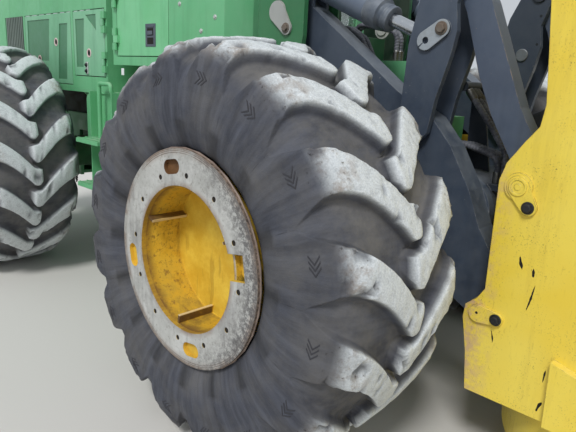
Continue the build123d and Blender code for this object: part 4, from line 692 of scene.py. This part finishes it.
wheel_finishes = {end: wheel_finish("wheel_enamel_" + end, wheel_middle(end + "_right")[0])
                  for end in ("front", "rear")}
for wheel, side, *_ in TYRES:
    rim = nodes["rim_" + wheel]
    axle_x = wheel_middle(wheel)[0]
    tool = bmesh.new()
    for outline in opening_outlines():
        rows = [[tool.verts.new((axle_x + x, side * y, AXLE_Z + z)) for x, z in outline]
                for y in (RING_FROM, RING_TO)]
        tool.faces.new(rows[0])
        tool.faces.new(rows[1][::-1])
        for k in range(len(outline)):
            tool.faces.new([rows[0][k - 1], rows[0][k], rows[1][k], rows[1][k - 1]])
    bmesh.ops.recalc_face_normals(tool, faces=tool.faces)
    openings = put("openings_" + wheel, bpy.data.meshes.new("openings_" + wheel))
    tool.to_mesh(openings.data)
    tool.free()
    whole = bmesh.new()
    whole.from_mesh(rim.data)
    whole.transform(rim.matrix_world)
    bmesh.ops.remove_doubles(whole, verts=whole.verts, dist=1e-6)
    whole.verts.index_update()
    disc = bpy.data.meshes.new("wheel_" + wheel)
    disc.from_pydata([tuple(vertex.co) for vertex in whole.verts], [],
                     [[vertex.index for vertex in face.verts] for face in whole.faces])
    whole.free()
    piece = put("wheel_disc_" + wheel, disc)
    cut = piece.modifiers.new("openings", "BOOLEAN")
    cut.object = openings
    piece.data = opened = modified(piece, cut)
    opened.polygons.foreach_set("use_smooth", [abs(face.normal.y) < FLAT_NORMAL for face in opened.polygons])
    opened.set_sharp_from_angle(angle=SHARP_FROM)
    opened.materials.clear()
    opened.materials.append(wheel_finishes[wheel.split("_")[0]])
    bpy.data.objects.remove(openings)
    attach(piece, "wheel_" + wheel)
    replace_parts(piece, "rim_" + wheel)

# Hoses: rubber hydraulic lines in a black spiral guard, crimped into steel sleeves at both ends.
# They bend from the arms' bracket and clamp to the tray, and from the tower to the front deck.
HOSE_TURN = 0.015
HOSE_RIDGE = 0.0017
HOSE_STEP = 0.003
HOSE_ROUND = 18
SLEEVE_LONG = 0.055
SLEEVE_THICK = 0.0035
SLEEVE_CRIMPS = 5
CRIMP_DEPTH = 0.0008
HOSE_RUNS = {
    # node: its body, and for each run the bend, y of each hose, radius of each hose, and corners as x
    # from the front axle and z
    "arm_hoses": ("lift_arms", [
        (0.090, (-0.312, -0.271, -0.233), (0.016, 0.016, 0.013),
         [(0.5543, 1.6479), (0.690, 1.485), (0.775, 1.370), (0.775, 1.2303)]),
        (0.070, (-0.292, -0.251, -0.215), (0.016, 0.016, 0.013),
         [(0.3303, 1.390), (0.570, 1.392), (0.735, 1.352), (0.735, 1.2303)]),
    ]),
    "tower_hoses": ("front_frame", [
        (0.060, (-0.292, -0.254), (0.016, 0.016),
         [(-0.3947, 1.880), (-0.315, 1.880), (-0.235, 1.960), (-0.110, 1.890), (0.005, 1.700),
          (0.020, 1.480), (0.020, 1.2753)]),
        (0.060, (-0.200, -0.162), (0.014, 0.014),
         [(-0.3947, 1.900), (-0.310, 1.900), (-0.190, 1.975), (0.055, 1.930), (0.055, 1.7803)]),
    ]),
}
# Moulded rubber, half dull, with pale dust in patches; the sleeves are plated steel with dark stains.
hose_rubber, add = new_material("hose_rubber_spiral")
add("output", add("surface", Roughness=0.55, Base_Color=layers(
    add, "#484a52", ("#7f8189", patches(add, add("place"), 14.0, 6.0, 0.7, 0.42, 0.68)))))
sleeve_steel = bare_metal("hose_sleeve_steel", "#7d7d7a", "#4c4238", 0.42, 0.6, 1.0)


def bent_line(corners, bend):
    """Points along straight runs joined by round bends in the side view, and the ways they point. A bend
    is an arc about the point that lies its radius away from both runs."""
    corners = np.array(corners, float)
    runs = [corners[:1]]
    for before, corner, after in zip(corners, corners[1:], corners[2:]):
        back_way = (before - corner) / np.linalg.norm(before - corner)
        on_way = (after - corner) / np.linalg.norm(after - corner)
        half = np.arccos(np.clip(back_way @ on_way, -1, 1)) / 2
        middle = back_way + on_way
        centre = corner + middle / np.linalg.norm(middle) * bend / sin(half)
        first, last = [corner + way * bend / np.tan(half) - centre for way in (back_way, on_way)]
        turn = pi - 2 * half
        t = np.linspace(0, 1, 24)[:, None]
        runs.append(centre + (np.sin((1 - t) * turn) * first + np.sin(t * turn) * last) / sin(turn))
    line = np.concatenate(runs + [corners[-1:]])
    run, line = spaced(line, max(int(run_along(line)[-1] / HOSE_STEP), 2))
    ways = np.gradient(line, axis=0)
    return run, line, ways / np.linalg.norm(ways, axis=1, keepdims=True)


def tube_points(line, ways, y, radius):
    """A round tube about a line in the side view: circles square to its way, out from it by the cosine
    and to the side by the sine. The radius is given per row and column."""
    turn = np.linspace(0, 2 * pi, HOSE_ROUND, endpoint=False)
    x = AXLE_X + line[:, :1] - ways[:, 1:] * radius * np.cos(turn)
    z = line[:, 1:] + ways[:, :1] * radius * np.cos(turn)
    return np.stack([x, y + radius * np.sin(turn), z], -1)


for node, (body, runs) in HOSE_RUNS.items():
    tubes, sleeves = [], []
    for bend, places, radii, corners in runs:
        run, line, ways = bent_line(corners, bend)
        phase = (run[:, None] / HOSE_TURN + np.linspace(0, 1, HOSE_ROUND, endpoint=False)) % 1
        ridge = HOSE_RIDGE * ease(np.abs(phase - 0.5), 0.16, 0.26)
        ends = np.minimum(run, run[-1] - run)
        crimp = np.where((ends / SLEEVE_LONG * SLEEVE_CRIMPS) % 1 < 0.3, CRIMP_DEPTH, 0.0)
        swell = SLEEVE_THICK - crimp - 0.003 * ease(ends, 0.9 * SLEEVE_LONG, SLEEVE_LONG)
        for y, radius in zip(places, radii):
            tubes.append(tube_points(line, ways, y, radius - ridge))
            flange = (radius + swell)[:, None] * np.ones(HOSE_ROUND)
            for rows in (run < SLEEVE_LONG, run > run[-1] - SLEEVE_LONG):
                sleeves.append(tube_points(line[rows], ways[rows], y, flange[rows]))
    tubes, sleeves = [joined(grids, HOSE_ROUND, flip=True) for grids in (tubes, sleeves)]
    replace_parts(surface_mesh("spiral_" + node, *tubes, "hose_rubber", body, hose_rubber), node)
    surface_mesh("sleeves_" + node, *sleeves, "rod_chrome", body, sleeve_steel)

# Small fittings: turned or hexagonal pieces and bevelled blocks, made from a profile or from two
# corners. Bolt heads hold the keepers and covers; those on the head are black, on the levers rusty.
HEX_HEAD = [
    # radius in head radii, height in head heights, and True where the row is hexagonal
    (1.45, -0.05), (1.45, 0.20), (1.30, 0.26), (0.92, 0.26, True),
    (0.92, 0.88, True), (0.80, 1.00), (0.30, 1.00), (0.01, 1.00),
]
FLAT_DISC = [(1.0, 0.0), (0.9, 1.0), (0.01, 1.0)]
FITTING_ROUND = 32
# Bolt steel: black oxide, brown with rust, or bright zinc, each with stains.
black_bolt = bare_metal("bolt_black_oxide", "#2b2d30", "#4a443d", 0.5, 0.6, 0.4)
rusty_bolt = bare_metal("bolt_rusty", "#77726a", "#6b4c35", 0.6, 0.6, 0.4)
zinc_bolt = bare_metal("bolt_zinc", "#cdd0cd", "#9d978a", 0.35, 0.4, 0.6)
BOLT_SETS = [
    # name, body, metal, head radius, head height, x from the front axle, y on the right, z
    ("bolts_lever", "tilt_levers", rusty_bolt, 0.020, 0.017, [(0.532, -0.5885, 1.899)]),
    ("bolts_head", "head", black_bolt, 0.017, 0.018, [(1.035, -0.677, 1.221), (0.976, -0.677, 0.736)]),
    ("bolts_tower", "front_frame", rusty_bolt, 0.018, 0.016, [(-0.351, -0.6423, 1.919)]),
    ("bolts_cab_base", "rear_frame", zinc_bolt, 0.010, 0.008, [
        (-0.885, -0.690, 1.989), (-1.018, -0.690, 1.914), (-1.240, -0.690, 1.790), (-0.850, -0.690, 1.780),
        (-1.240, -0.690, 2.080)]),
]


def turned(name, slot, body, material, profile, wide, high, spots, way=(0, -1, 0), smooth=False):
    """Fittings standing at (x from the front axle, y, z) and pointing along a way, which is mirrored for
    those on the left. Each profile row is a circle about that way, and a hexagonal row is wider by one
    over the cosine of the angle from the middle of its flat."""
    turn = np.linspace(0, 2 * pi, FITTING_ROUND, endpoint=False)
    hexagon = 1 / np.cos((turn + 0.2) % (pi / 3) - pi / 6)
    grids = []
    for spot in spots:
        out = np.array(way, float) * (1, -1 if spot[1] > 0 else 1, 1)
        out /= np.linalg.norm(out)
        across = np.cross((1, 0, 0) if abs(out[2]) > 0.9 else (0, 0, 1), out)
        across /= np.linalg.norm(across)
        circle = np.cos(turn)[:, None] * across + np.sin(turn)[:, None] * np.cross(out, across)
        foot = np.array(spot) + (AXLE_X, 0, 0)
        grids.append([(share * wide * (hexagon if is_hex else np.ones(FITTING_ROUND)))[:, None] * circle
                      + out * up_share * high + foot for share, up_share, *is_hex in profile])
    return surface_mesh(name, *joined(grids, FITTING_ROUND), slot, body, material, smooth)


def blocks(name, slot, body, material, bevel, boxes):
    """Bevelled boxes, each from its low and its high corner, x measured from the front axle."""
    corners = np.array([(i, j, k) for i in (0, 1) for j in (0, 1) for k in (0, 1)])
    sides = np.array([(0, 1, 3, 2), (4, 6, 7, 5), (0, 4, 5, 1), (2, 3, 7, 6), (0, 2, 6, 4), (1, 5, 7, 3)])
    points = [np.where(corners == 1, high, low) + (AXLE_X, 0, 0) for low, high in np.array(boxes, float)]
    faces = np.concatenate([sides + 8 * k for k in range(len(boxes))])
    piece = surface_mesh(name, points, faces, slot, body, material, smooth=False)
    edge = piece.modifiers.new("edge", "BEVEL")
    edge.width = bevel
    edge.segments = 2


def on_both_sides(spots):
    """Places on the right together with their mirror places on the left."""
    return list(spots) + [(x, -y, z) for x, y, z in spots]


for name, body, metal, radius, high, spots in BOLT_SETS:
    turned(name, "keeper_steel", body, metal, HEX_HEAD, radius, high, on_both_sides(spots))

# Cylinder glands: each tilt barrel ends in a wide threaded gland with a band round its rear end and
# a worn lip round the rod.
TILT_BASE = np.array([-0.300, -0.465, 2.167])
LEVER_EYE = np.array([0.460, -0.465, 1.850])
GLAND = [
    # radius in barrel radii and height in gland lengths
    (1.002, 0.000), (1.045, 0.006), (1.045, 0.060), (1.008, 0.070), (1.008, 0.550), (0.980, 0.566),
    (0.775, 0.572), (0.765, 0.590), (0.765, 0.720), (0.805, 0.730), (0.805, 0.800), (0.765, 0.810),
    (0.765, 0.930), (0.800, 0.940), (0.795, 0.990), (0.760, 1.000), (0.440, 1.000),
]
BARREL_R = 0.077
GLAND_FROM = 0.400
GLAND_LONG = 0.142
gland_steel = bare_metal("gland_worn_steel", "#5b6470", "#9a9ea1", 0.45, 0.6, 0.1)
tilt_way = (LEVER_EYE - TILT_BASE) / np.linalg.norm(LEVER_EYE - TILT_BASE)
turned("tilt_glands", "slate_paint", "tilt_barrels", gland_steel, GLAND, BARREL_R, GLAND_LONG,
       on_both_sides([TILT_BASE + GLAND_FROM * tilt_way]), tilt_way, True)

# Inner ends of the lever's pins: a turned head over the cylinder eye and one over the upper pin, with
# two small tapped holes beside them.
PIN_HEAD = [(1.0, 0.0), (1.0, 0.7), (0.9, 1.0), (0.01, 1.0)]
pin_steel = bare_metal("pin_head_steel", "#7f8488", "#5e5c58", 0.4, 0.5, 0.5)
PIN_FITTINGS = [
    # name, metal, profile, radius, height, x from the front axle, y on the right, z
    ("lever_pin_heads", pin_steel, PIN_HEAD, 0.034, 0.009, [(0.505, -0.3555, 1.848)]),
    # The tapped holes are dark discs: painted shade.
    ("lever_tapped_holes", black_bolt, FLAT_DISC, 0.008, 0.0006,
     [(0.578, -0.3555, 2.050), (0.578, -0.3555, 1.905)]),
]
for name, metal, profile, radius, high, spots in PIN_FITTINGS:
    turned(name, "keeper_steel", "tilt_levers", metal, profile, radius, high, on_both_sides(spots), (0, 1, 0))

# Wheel fittings: the lock ring's pinkish bead flange shows round the outer ring, dark discs of painted shade
# fill the bolt holes in that ring, and gussets, one of them rusty, close its hand holes and notch from
# behind.
BEAD_FLANGE = [
    # radius in flange radii and height in flange heights
    (0.975, -1.0), (0.990, -0.8), (0.992, -0.5), (0.985, -0.2), (0.975, -0.1),
]
# Scoured primer, a dark disc of painted shade inside each bolt hole, and yellow enamel, clean or covered with
# rust.
flange_metal = bare_metal("bead_flange_primer", "#8f7d71", "#4f4038", 0.6, 0.8)
bolt_hole_shade = bare_metal("bolt_hole_dark", "#15130f", "#33261a", 0.9, 0.5)
gusset_yellow = bare_metal("gusset_yellow", "#e2b93c", "#a9842c", 0.5, 0.6)
gusset_rust = bare_metal("gusset_rusty", "#6f4c2a", "#3c2a1c", 0.8, 0.8)
BOLT_WAYS = [-25.3 + 30 * k for k in range(12)]
WHEEL_FITTINGS = [
    # name, finish, profile, radius, height, ways round from the top in degrees, reach, distance out, smooth
    ("bead_flange", flange_metal, BEAD_FLANGE, 0.4715, 0.010, (0.0,), 0.0, 1.5300, True),
    ("bolt_holes", bolt_hole_shade, FLAT_DISC, 0.0112, 0.0005, BOLT_WAYS, 0.359, 1.5385, False),
    ("gusset_0", gusset_yellow, FLAT_DISC, 0.062, 0.003, (170.5,), 0.387, 1.5190, False),
    ("gusset_1", gusset_yellow, FLAT_DISC, 0.062, 0.003, (259.0,), 0.387, 1.5190, False),
    ("gusset_2", gusset_rust, FLAT_DISC, 0.062, 0.003, (-11.0,), 0.387, 1.5190, False),
    ("gusset_3", gusset_yellow, FLAT_DISC, 0.066, 0.003, (80.0,), 0.370, 1.4900, False),
]
for wheel, side, *_ in TYRES:
    hub_x = wheel_middle(wheel)[0] - AXLE_X
    for name, finish, profile, radius, high, ways, reach, out, smooth in WHEEL_FITTINGS:
        turns = [radians(way) for way in ways]
        spots = [(hub_x + reach * sin(turn), side * out, AXLE_Z + reach * cos(turn)) for turn in turns]
        turned(name + "_" + wheel, "yellow_paint", "wheel_" + wheel, finish, profile, radius, high, spots,
               smooth=smooth)

# Keeper plates of the levers: zinc plated strips with a hole over the pin and a slit cut from it,
# so that they can be slid off. They lie on the levers' own bosses.
KEEPER_PIN = np.array([0.460, 1.850])
KEEPER_BOLT = np.array([0.532, 1.899])
KEEPER_PIN_R = 0.042
KEEPER_BOLT_R = 0.038
KEEPER_HOLE_R = 0.015
KEEPER_OUT = 0.5865
KEEPER_ROUND = 96
SLIT_WAY = radians(222.0)
SLIT_HALF = radians(5.5)
keeper_steel = bare_metal("keeper_zinc_plate", "#a4acb3", "#777469", 0.5, 0.5, 0.2)
keeper_turn = np.linspace(SLIT_WAY + SLIT_HALF, SLIT_WAY + 2 * pi - SLIT_HALF, KEEPER_ROUND)
keeper_ways = np.stack([np.cos(keeper_turn), np.sin(keeper_turn)], -1)
at_pin = (keeper_ways @ KEEPER_PIN + KEEPER_PIN_R >= keeper_ways @ KEEPER_BOLT + KEEPER_BOLT_R)[:, None]
keeper_outer = np.where(at_pin, KEEPER_PIN + KEEPER_PIN_R * keeper_ways,
                        KEEPER_BOLT + KEEPER_BOLT_R * keeper_ways)
keeper_inner = KEEPER_PIN + KEEPER_HOLE_R * keeper_ways
KEEPER_ROWS = [
    # outline, how far its edge is chamfered in, how far it stands off the boss
    (keeper_outer, 0.0, 0.0), (keeper_outer, 0.0, 0.0020), (keeper_outer, 0.0015, 0.0030),
    (keeper_inner, 0.0, 0.0030), (keeper_inner, 0.0, 0.0),
]
keeper_rows = []
for line, shrink, raised in KEEPER_ROWS:
    flat = line - shrink * keeper_ways
    out = np.full(KEEPER_ROUND, KEEPER_OUT + raised)
    keeper_rows.append(np.stack([AXLE_X + flat[:, 0], out, flat[:, 1]], -1))
keeper_points = np.concatenate(keeper_rows)
keeper_faces = grid_faces(len(keeper_rows), KEEPER_ROUND)
surface_mesh("lever_keepers", np.concatenate([keeper_points * (1, -1, 1), keeper_points]),
             np.concatenate([keeper_faces, keeper_faces[:, ::-1] + len(keeper_points)]),
             "keeper_steel", "tilt_levers", keeper_steel, smooth=False)

# Fittings of the head: the embossed disc of the upper keeper, the small holes of the lower one, and
# old gouges through the enamel where stems have struck the side plate.
EMBOSSED = [
    # radius in disc radii and height in disc heights
    (1.00, 0.0), (1.00, 0.8), (0.94, 1.0), (0.74, 1.0), (0.70, 0.6), (0.40, 0.6), (0.34, 1.0), (0.01, 1.0),
]
# Steel bared by a gouge has browned, and looks nearly black beside the enamel. The same near black is
# painted shade in the lower keeper's holes, the lock holes and the latch recesses.
gouge_and_hole_shade, add = new_material("gouge_steel_and_hole_shade")
add("output", add("surface", Base_Color="#17150f", Roughness=0.9))
turned("keeper_discs", "yellow_paint", "head", paints["yellow_enamel"], EMBOSSED, 0.036, 0.004,
       on_both_sides([(0.986, -0.677, 1.295)]))
# The lower keeper's small holes are dark discs: painted shade.
turned("keeper_holes", "keeper_steel", "head", gouge_and_hole_shade, FLAT_DISC, 0.006, 0.0006,
       on_both_sides([(0.893, -0.677, 0.741)]))
GOUGE_Y = -0.6655
GOUGE_POINTS = 14
GOUGES = [
    # x from the front axle and z of one end, of the other end, half width
    ((1.031, 1.025), (1.043, 0.973), 0.0050),
    ((1.088, 0.99), (1.093, 0.953), 0.0046),
    ((1.102, 0.925), (1.085, 0.811), 0.0034),
    ((0.959, 0.685), (0.969, 0.628), 0.0034),
    ((1.197, 0.596), (1.191, 0.541), 0.0034),
    ((1.204, 0.459), (1.188, 0.411), 0.0070),
]
gouges = []
for number, (start, end, half) in enumerate(GOUGES):
    share = np.linspace(0, 1, GOUGE_POINTS)
    middle = np.array(start) + (np.array(end) - np.array(start)) * share[:, None]
    spots = np.stack([middle[:, 0], np.zeros(GOUGE_POINTS), middle[:, 1]], -1)
    bent = lumps(spots, 0.120, 71 + number)
    ragged = half * np.sin(pi * share) ** 0.6 * (1 + 0.35 * lumps(spots, 0.030, 51 + number))
    gouges.append([np.stack([AXLE_X + middle[:, 0] + 0.004 * bent + edge * ragged,
                             np.full(GOUGE_POINTS, GOUGE_Y), middle[:, 1]], -1) for edge in (-1, 1)])
surface_mesh("gouges_head", *joined(gouges, GOUGE_POINTS, wrap_columns=False), "yellow_paint", "head",
             gouge_and_hole_shade, smooth=False)

# Fittings of the hood and the cab base: lock holes with pale rims, a latch under the engine door,
# the paddle of the service door, a blank plate beside it, and serrated treads on the steps.
LOCK_RIM = [(1.00, 0.0), (0.98, 1.0), (0.74, 1.0), (0.66, 0.1)]
# Faded pinkish primer, dark grey plastic, and a plate of white enamel.
lock_metal = bare_metal("lock_rim_pale", "#e3cdc9", "#b98f87", 0.55, 0.6)
dark_grey = bare_metal("latch_dark_grey", "#4c5560", "#7b8187", 0.5, 0.5, 0.2)
white_plate = bare_metal("blank_plate", "#e6e9ea", "#c4c5c0", 0.6, 0.3)
SHIELD_LOCKS = [(-3.373, -0.700, 1.729), (-3.023, -0.700, 1.871)]
DOOR_LOCK = (-2.438, -0.700, 1.783)
LATCH_X = (-2.487, -2.449)
LATCH_OUT = (0.699, 0.712)
LATCH_Z = (1.622, 1.716)
KNOB_Z = (1.692, 1.646)
SERVICE_DOOR_BLOCKS = [
    # name, slot, finish, bevel, low and high corners
    ("service_latch_plate", "keeper_steel", dark_grey, 0.004,
     [((-1.636, -0.6935, 1.826), (-1.512, -0.689, 1.974))]),
    # The recesses are near-black blocks: painted shade.
    ("service_latch_recess", "black_paint", gouge_and_hole_shade, 0.0005,
     [((-1.612, -0.6942, 1.842), (-1.536, -0.693, 1.885)),
      ((-1.612, -0.6942, 1.898), (-1.536, -0.693, 1.945))]),
    ("service_latch_paddle", "keeper_steel", dark_grey, 0.002,
     [((-1.604, -0.700, 1.902), (-1.544, -0.693, 1.928)),
      ((-1.618, -0.698, 1.950), (-1.530, -0.693, 1.960))]),
    ("blank_plate", "keeper_steel", white_plate, 0.001,
     [((-1.966, -0.6925, 1.630), (-1.930, -0.689, 1.678))]),
]


def locks(ending, body, spots):
    """Locks at the places given: a pale turned rim round a dark disc, painted shade for the hole."""
    turned("lock_rim" + ending, "keeper_steel", body, lock_metal, LOCK_RIM, 0.034, 0.003, spots)
    turned("lock_hole" + ending, "black_paint", body, gouge_and_hole_shade, FLAT_DISC, 0.023, 0.0008, spots)


locks("s", "rear_frame", on_both_sides(SHIELD_LOCKS))
for side_name, side in (("right", -1), ("left", 1)):
    door = "engine_door_" + side_name
    locks("_" + door, door, [(DOOR_LOCK[0], -side * DOOR_LOCK[1], DOOR_LOCK[2])])
    low, high = zip(LATCH_X, sorted(side * out for out in LATCH_OUT), LATCH_Z)
    blocks("latch_" + door, "keeper_steel", door, zinc_bolt, 0.004, [(low, high)])
    turned("latch_knob_" + door, "keeper_steel", door, black_bolt, HEX_HEAD, 0.011, 0.012,
           [(sum(LATCH_X) / 2, side * LATCH_OUT[1], z) for z in KNOB_Z])
for name, slot, finish, bevel, boxes in SERVICE_DOOR_BLOCKS:
    blocks(name, slot, "service_door", finish, bevel, boxes)
step_low, step_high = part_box("steps_and_handles")
STEP_TEETH = 26
TREAD_TOPS = (1.150, 0.810)
TREAD_ROWS_Y = (-0.890, -0.830, -0.770)
TOOTH_LOW = np.array([0.0, -0.004, -0.001])
TOOTH_HIGH = np.array([0.006, 0.004, 0.008])
TREAD_MARGIN = 0.030
first_tooth = step_low.x - AXLE_X + 0.012
tooth_step = (step_high.x - step_low.x - TREAD_MARGIN) / STEP_TEETH
tooth_places = [(first_tooth + k * tooth_step, y, z) for z in TREAD_TOPS for y in TREAD_ROWS_Y
                for k in range(STEP_TEETH)]
teeth = [(place + TOOTH_LOW, place + TOOTH_HIGH) for place in tooth_places]
mirrored_teeth = [((x0, -y1, z0), (x1, -y0, z1)) for (x0, y0, z0), (x1, y1, z1) in teeth]
blocks("step_teeth", "green_paint", "rear_frame", paints["green_enamel"], 0.001, teeth + mirrored_teeth)

# Seat: a sprung pedestal with a crowned cushion and back of black cloth. Each is a smaller block
# that cloth simulation swells, and the sewn channels are pressed in afterwards.
SEAT_VOXEL = 0.008
SEAT_SWELL = 0.022
SEAT_PRESSURE = 4.0
SEAT_FRAMES = 20
SEAT_CORNER = 0.030
SEAT_CUTS = 11
CHANNEL_DEPTH = 0.007
CHANNEL_HALF_W = 0.007
CHANNEL_AT = (-0.105, 0.105)
seat_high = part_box("seat")[1]
SEAT_X = seat_high.x - AXLE_X - 0.250
PEDESTAL = [
    # radius in pedestal radii and height in pedestal heights
    (1.00, 0.00), (1.00, 0.06), (0.92, 0.10), (0.98, 0.18), (0.86, 0.26), (0.96, 0.34), (0.84, 0.42),
    (0.94, 0.50), (0.82, 0.58), (0.92, 0.66), (0.80, 0.74), (0.90, 0.82), (0.80, 0.90), (0.99, 0.94),
    (0.99, 1.00),
]
# Woven black cloth, dull, with worn greyish patches. Its threads of 2.4 mm are coarser than real ones,
# so that they show.
WEAVE_PER_M = 420.0
seat_cloth, add = new_material("seat_cloth_black")
place = add("place")
weave = add("bump", 0.4, 0.001, add("noise", place, WEAVE_PER_M, 2.0, 0.6))
worn = patches(add, place, 8.0, 5.0, 0.6, 0.4, 0.7)
add("output", add("surface", Base_Color=layers(add, "#26282b", ("#3c3d3e", worn)), Roughness=0.95,
                  Sheen_Weight=0.3, Normal=weave))
# Moulded black plastic with a fine pale mottle.
black_plastic, add = new_material("cab_plastic_black")
add("output", add("surface", Roughness=0.6, Base_Color=layers(
    add, "#1c1d1f", ("#303133", add("noise", add("place"), 30.0, 4.0, 0.6)))))


def each_vertex(mesh, what="co"):
    """The places or the normals of a mesh's vertices as one array."""
    values = np.empty(len(mesh.vertices) * 3)
    mesh.vertices.foreach_get(what, values)
    return values.reshape(-1, 3)


def rounded_block(name, low, high, corner):
    """A closed block with round edges: a subdivided cube, where each point further than the corner's
    radius from an inner box is drawn in to that distance from it."""
    shape = bmesh.new()
    bmesh.ops.create_cube(shape, size=2.0)
    bmesh.ops.subdivide_edges(shape, edges=shape.edges, cuts=SEAT_CUTS, use_grid_fill=True)
    mesh = bpy.data.meshes.new(name)
    shape.to_mesh(mesh)
    shape.free()
    half = (high - low) / 2
    spots = each_vertex(mesh) * half
    inner = np.clip(spots, corner - half, half - corner)
    length = np.linalg.norm(spots - inner, axis=1, keepdims=True)
    spots = inner + (spots - inner) / np.maximum(length, 1e-9) * np.minimum(length, corner)
    spots = spots + (low + high) / 2 + (AXLE_X, 0, 0)
    mesh.vertices.foreach_set("co", spots.ravel())
    return mesh


def stuffed(name, low, high, channel_side):
    """A pad between two corners, swelled by cloth under pressure and held inside its own space. Its
    channels are pressed in along its normals, as deep as a bell curve of the distance across them."""
    low, high = np.array(low), np.array(high)
    pad = put(name, rounded_block(name, low + SEAT_SWELL * 0.6, high - SEAT_SWELL * 0.6, SEAT_CORNER))
    voxels = pad.modifiers.new("voxels", "REMESH")
    voxels.mode = "VOXEL"
    voxels.voxel_size = SEAT_VOXEL
    pad.data = modified(pad, voxels)
    before = each_vertex(pad.data)
    cloth = pad.modifiers.new("cloth", "CLOTH")
    cloth.settings.use_pressure = True
    cloth.settings.uniform_pressure_force = SEAT_PRESSURE
    cloth.settings.effector_weights.gravity = 0
    cloth.point_cache.frame_end = SEAT_FRAMES
    for frame_number in range(1, SEAT_FRAMES + 1):
        bpy.context.scene.frame_set(frame_number)
    seen = pad.evaluated_get(bpy.context.evaluated_depsgraph_get())
    moved = each_vertex(seen.data) - before
    pad.modifiers.remove(cloth)
    bpy.context.scene.frame_set(1)
    length = np.linalg.norm(moved, axis=1, keepdims=True)
    spots = before + moved * np.minimum(1, SEAT_SWELL / np.maximum(length, 1e-9))
    outward = each_vertex(pad.data, "normal")
    facing = np.clip(outward @ np.array(channel_side, float), 0, 1)
    pressed = sum(np.exp(-((spots[:, 1] - at) / CHANNEL_HALF_W) ** 2) for at in CHANNEL_AT)
    spots = spots - outward * (CHANNEL_DEPTH * pressed * facing)[:, None]
    spots = np.clip(spots, low + (AXLE_X, 0, 0), high + (AXLE_X, 0, 0))
    pad.data.vertices.foreach_set("co", spots.ravel())
    pad.data.update()
    pad.data.polygons.foreach_set("use_smooth", np.full(len(pad.data.polygons), True))
    pad.data.materials.clear()
    pad.data.materials.append(seat_cloth)
    fine_pad = pad.modifiers.new("round", "SUBSURF")
    fine_pad.levels = fine_pad.render_levels = 1
    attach(pad, "rear_frame")
    return pad


cushion = stuffed("seat_cushion", (SEAT_X - 0.250, -0.250, 2.075), (SEAT_X + 0.250, 0.250, 2.195), (0, 0, 1))
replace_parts(cushion, "seat")
stuffed("seat_back", (SEAT_X - 0.350, -0.250, 2.145), (SEAT_X - 0.240, 0.250, seat_high.z), (1, 0, 0))
turned("seat_pedestal", "black_paint", "rear_frame", black_plastic, PEDESTAL, 0.138, 0.328,
       [(SEAT_X, 0.0, 1.746)], (0, 0, 1), True)

# Controls: an armrest console with a joystick on each side of the seat, and a small dark display
# on a stalk ahead of the right one.
STICK = [
    # radius in stick radii and height in stick heights
    (1.00, 0.00), (0.90, 0.10), (0.34, 0.30), (0.32, 0.45), (0.62, 0.52), (0.70, 0.70), (0.66, 0.92),
    (0.45, 1.00), (0.01, 1.00),
]
console_boxes, stick_spots = [], []
for side in (-1, 1):
    inner, outer = sorted((side * 0.290, side * 0.430))
    console_boxes.append(((SEAT_X - 0.300, inner, 2.180), (SEAT_X + 0.180, outer, 2.300)))
    console_boxes.append(((SEAT_X - 0.240, inner + 0.030, 1.746), (SEAT_X - 0.060, outer - 0.030, 2.182)))
    stick_spots.append((SEAT_X + 0.110, side * 0.360, 2.299))
blocks("armrest_consoles", "black_paint", "rear_frame", black_plastic, 0.020, console_boxes)
turned("joysticks", "black_paint", "rear_frame", black_plastic, STICK, 0.036, 0.170, stick_spots,
       (0, 0, 1), True)
blocks("display", "black_paint", "rear_frame", black_plastic, 0.006, [
    ((SEAT_X + 0.205, -0.470, 2.330), (SEAT_X + 0.235, -0.270, 2.480)),
    ((SEAT_X + 0.160, -0.385, 2.240), (SEAT_X + 0.215, -0.355, 2.400))])

# Lamps: clear moulded lenses in black bezels, forward and rearward on the roof. Their smooth
# faces give a small sharp highlight.
BEZEL = [(1.0, 0.0), (1.0, 1.0), (0.86, 1.0), (0.82, 0.5)]
lens_glass, add = new_material("lamp_lens_clear")
add("output", add("surface", Base_Color="#dfe6e8", Roughness=0.08))
lamp_low, lamp_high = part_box("work_lamps")
LAMPS = [
    # end, x, way, y of each
    ("front", lamp_high.x, (1, 0, 0), (-0.48, -0.20, 0.20, 0.48)),
    ("rear", lamp_low.x, (-1, 0, 0), (-0.48, 0.48)),
]
LAMP_PARTS = [
    # name, slot, finish, profile, radius, height
    ("lamp_bezels_", "lamp_plastic", black_bolt, BEZEL, 0.040, 0.006),
    ("lamp_lenses_", "window_glass", lens_glass, FLAT_DISC, 0.034, 0.004),
]
for end, x, way, places in LAMPS:
    spots = [(x - AXLE_X, y, (lamp_low.z + lamp_high.z) / 2) for y in places]
    for name, slot, *look in LAMP_PARTS:
        turned(name + end, slot, "rear_frame", *look, spots, way, True)
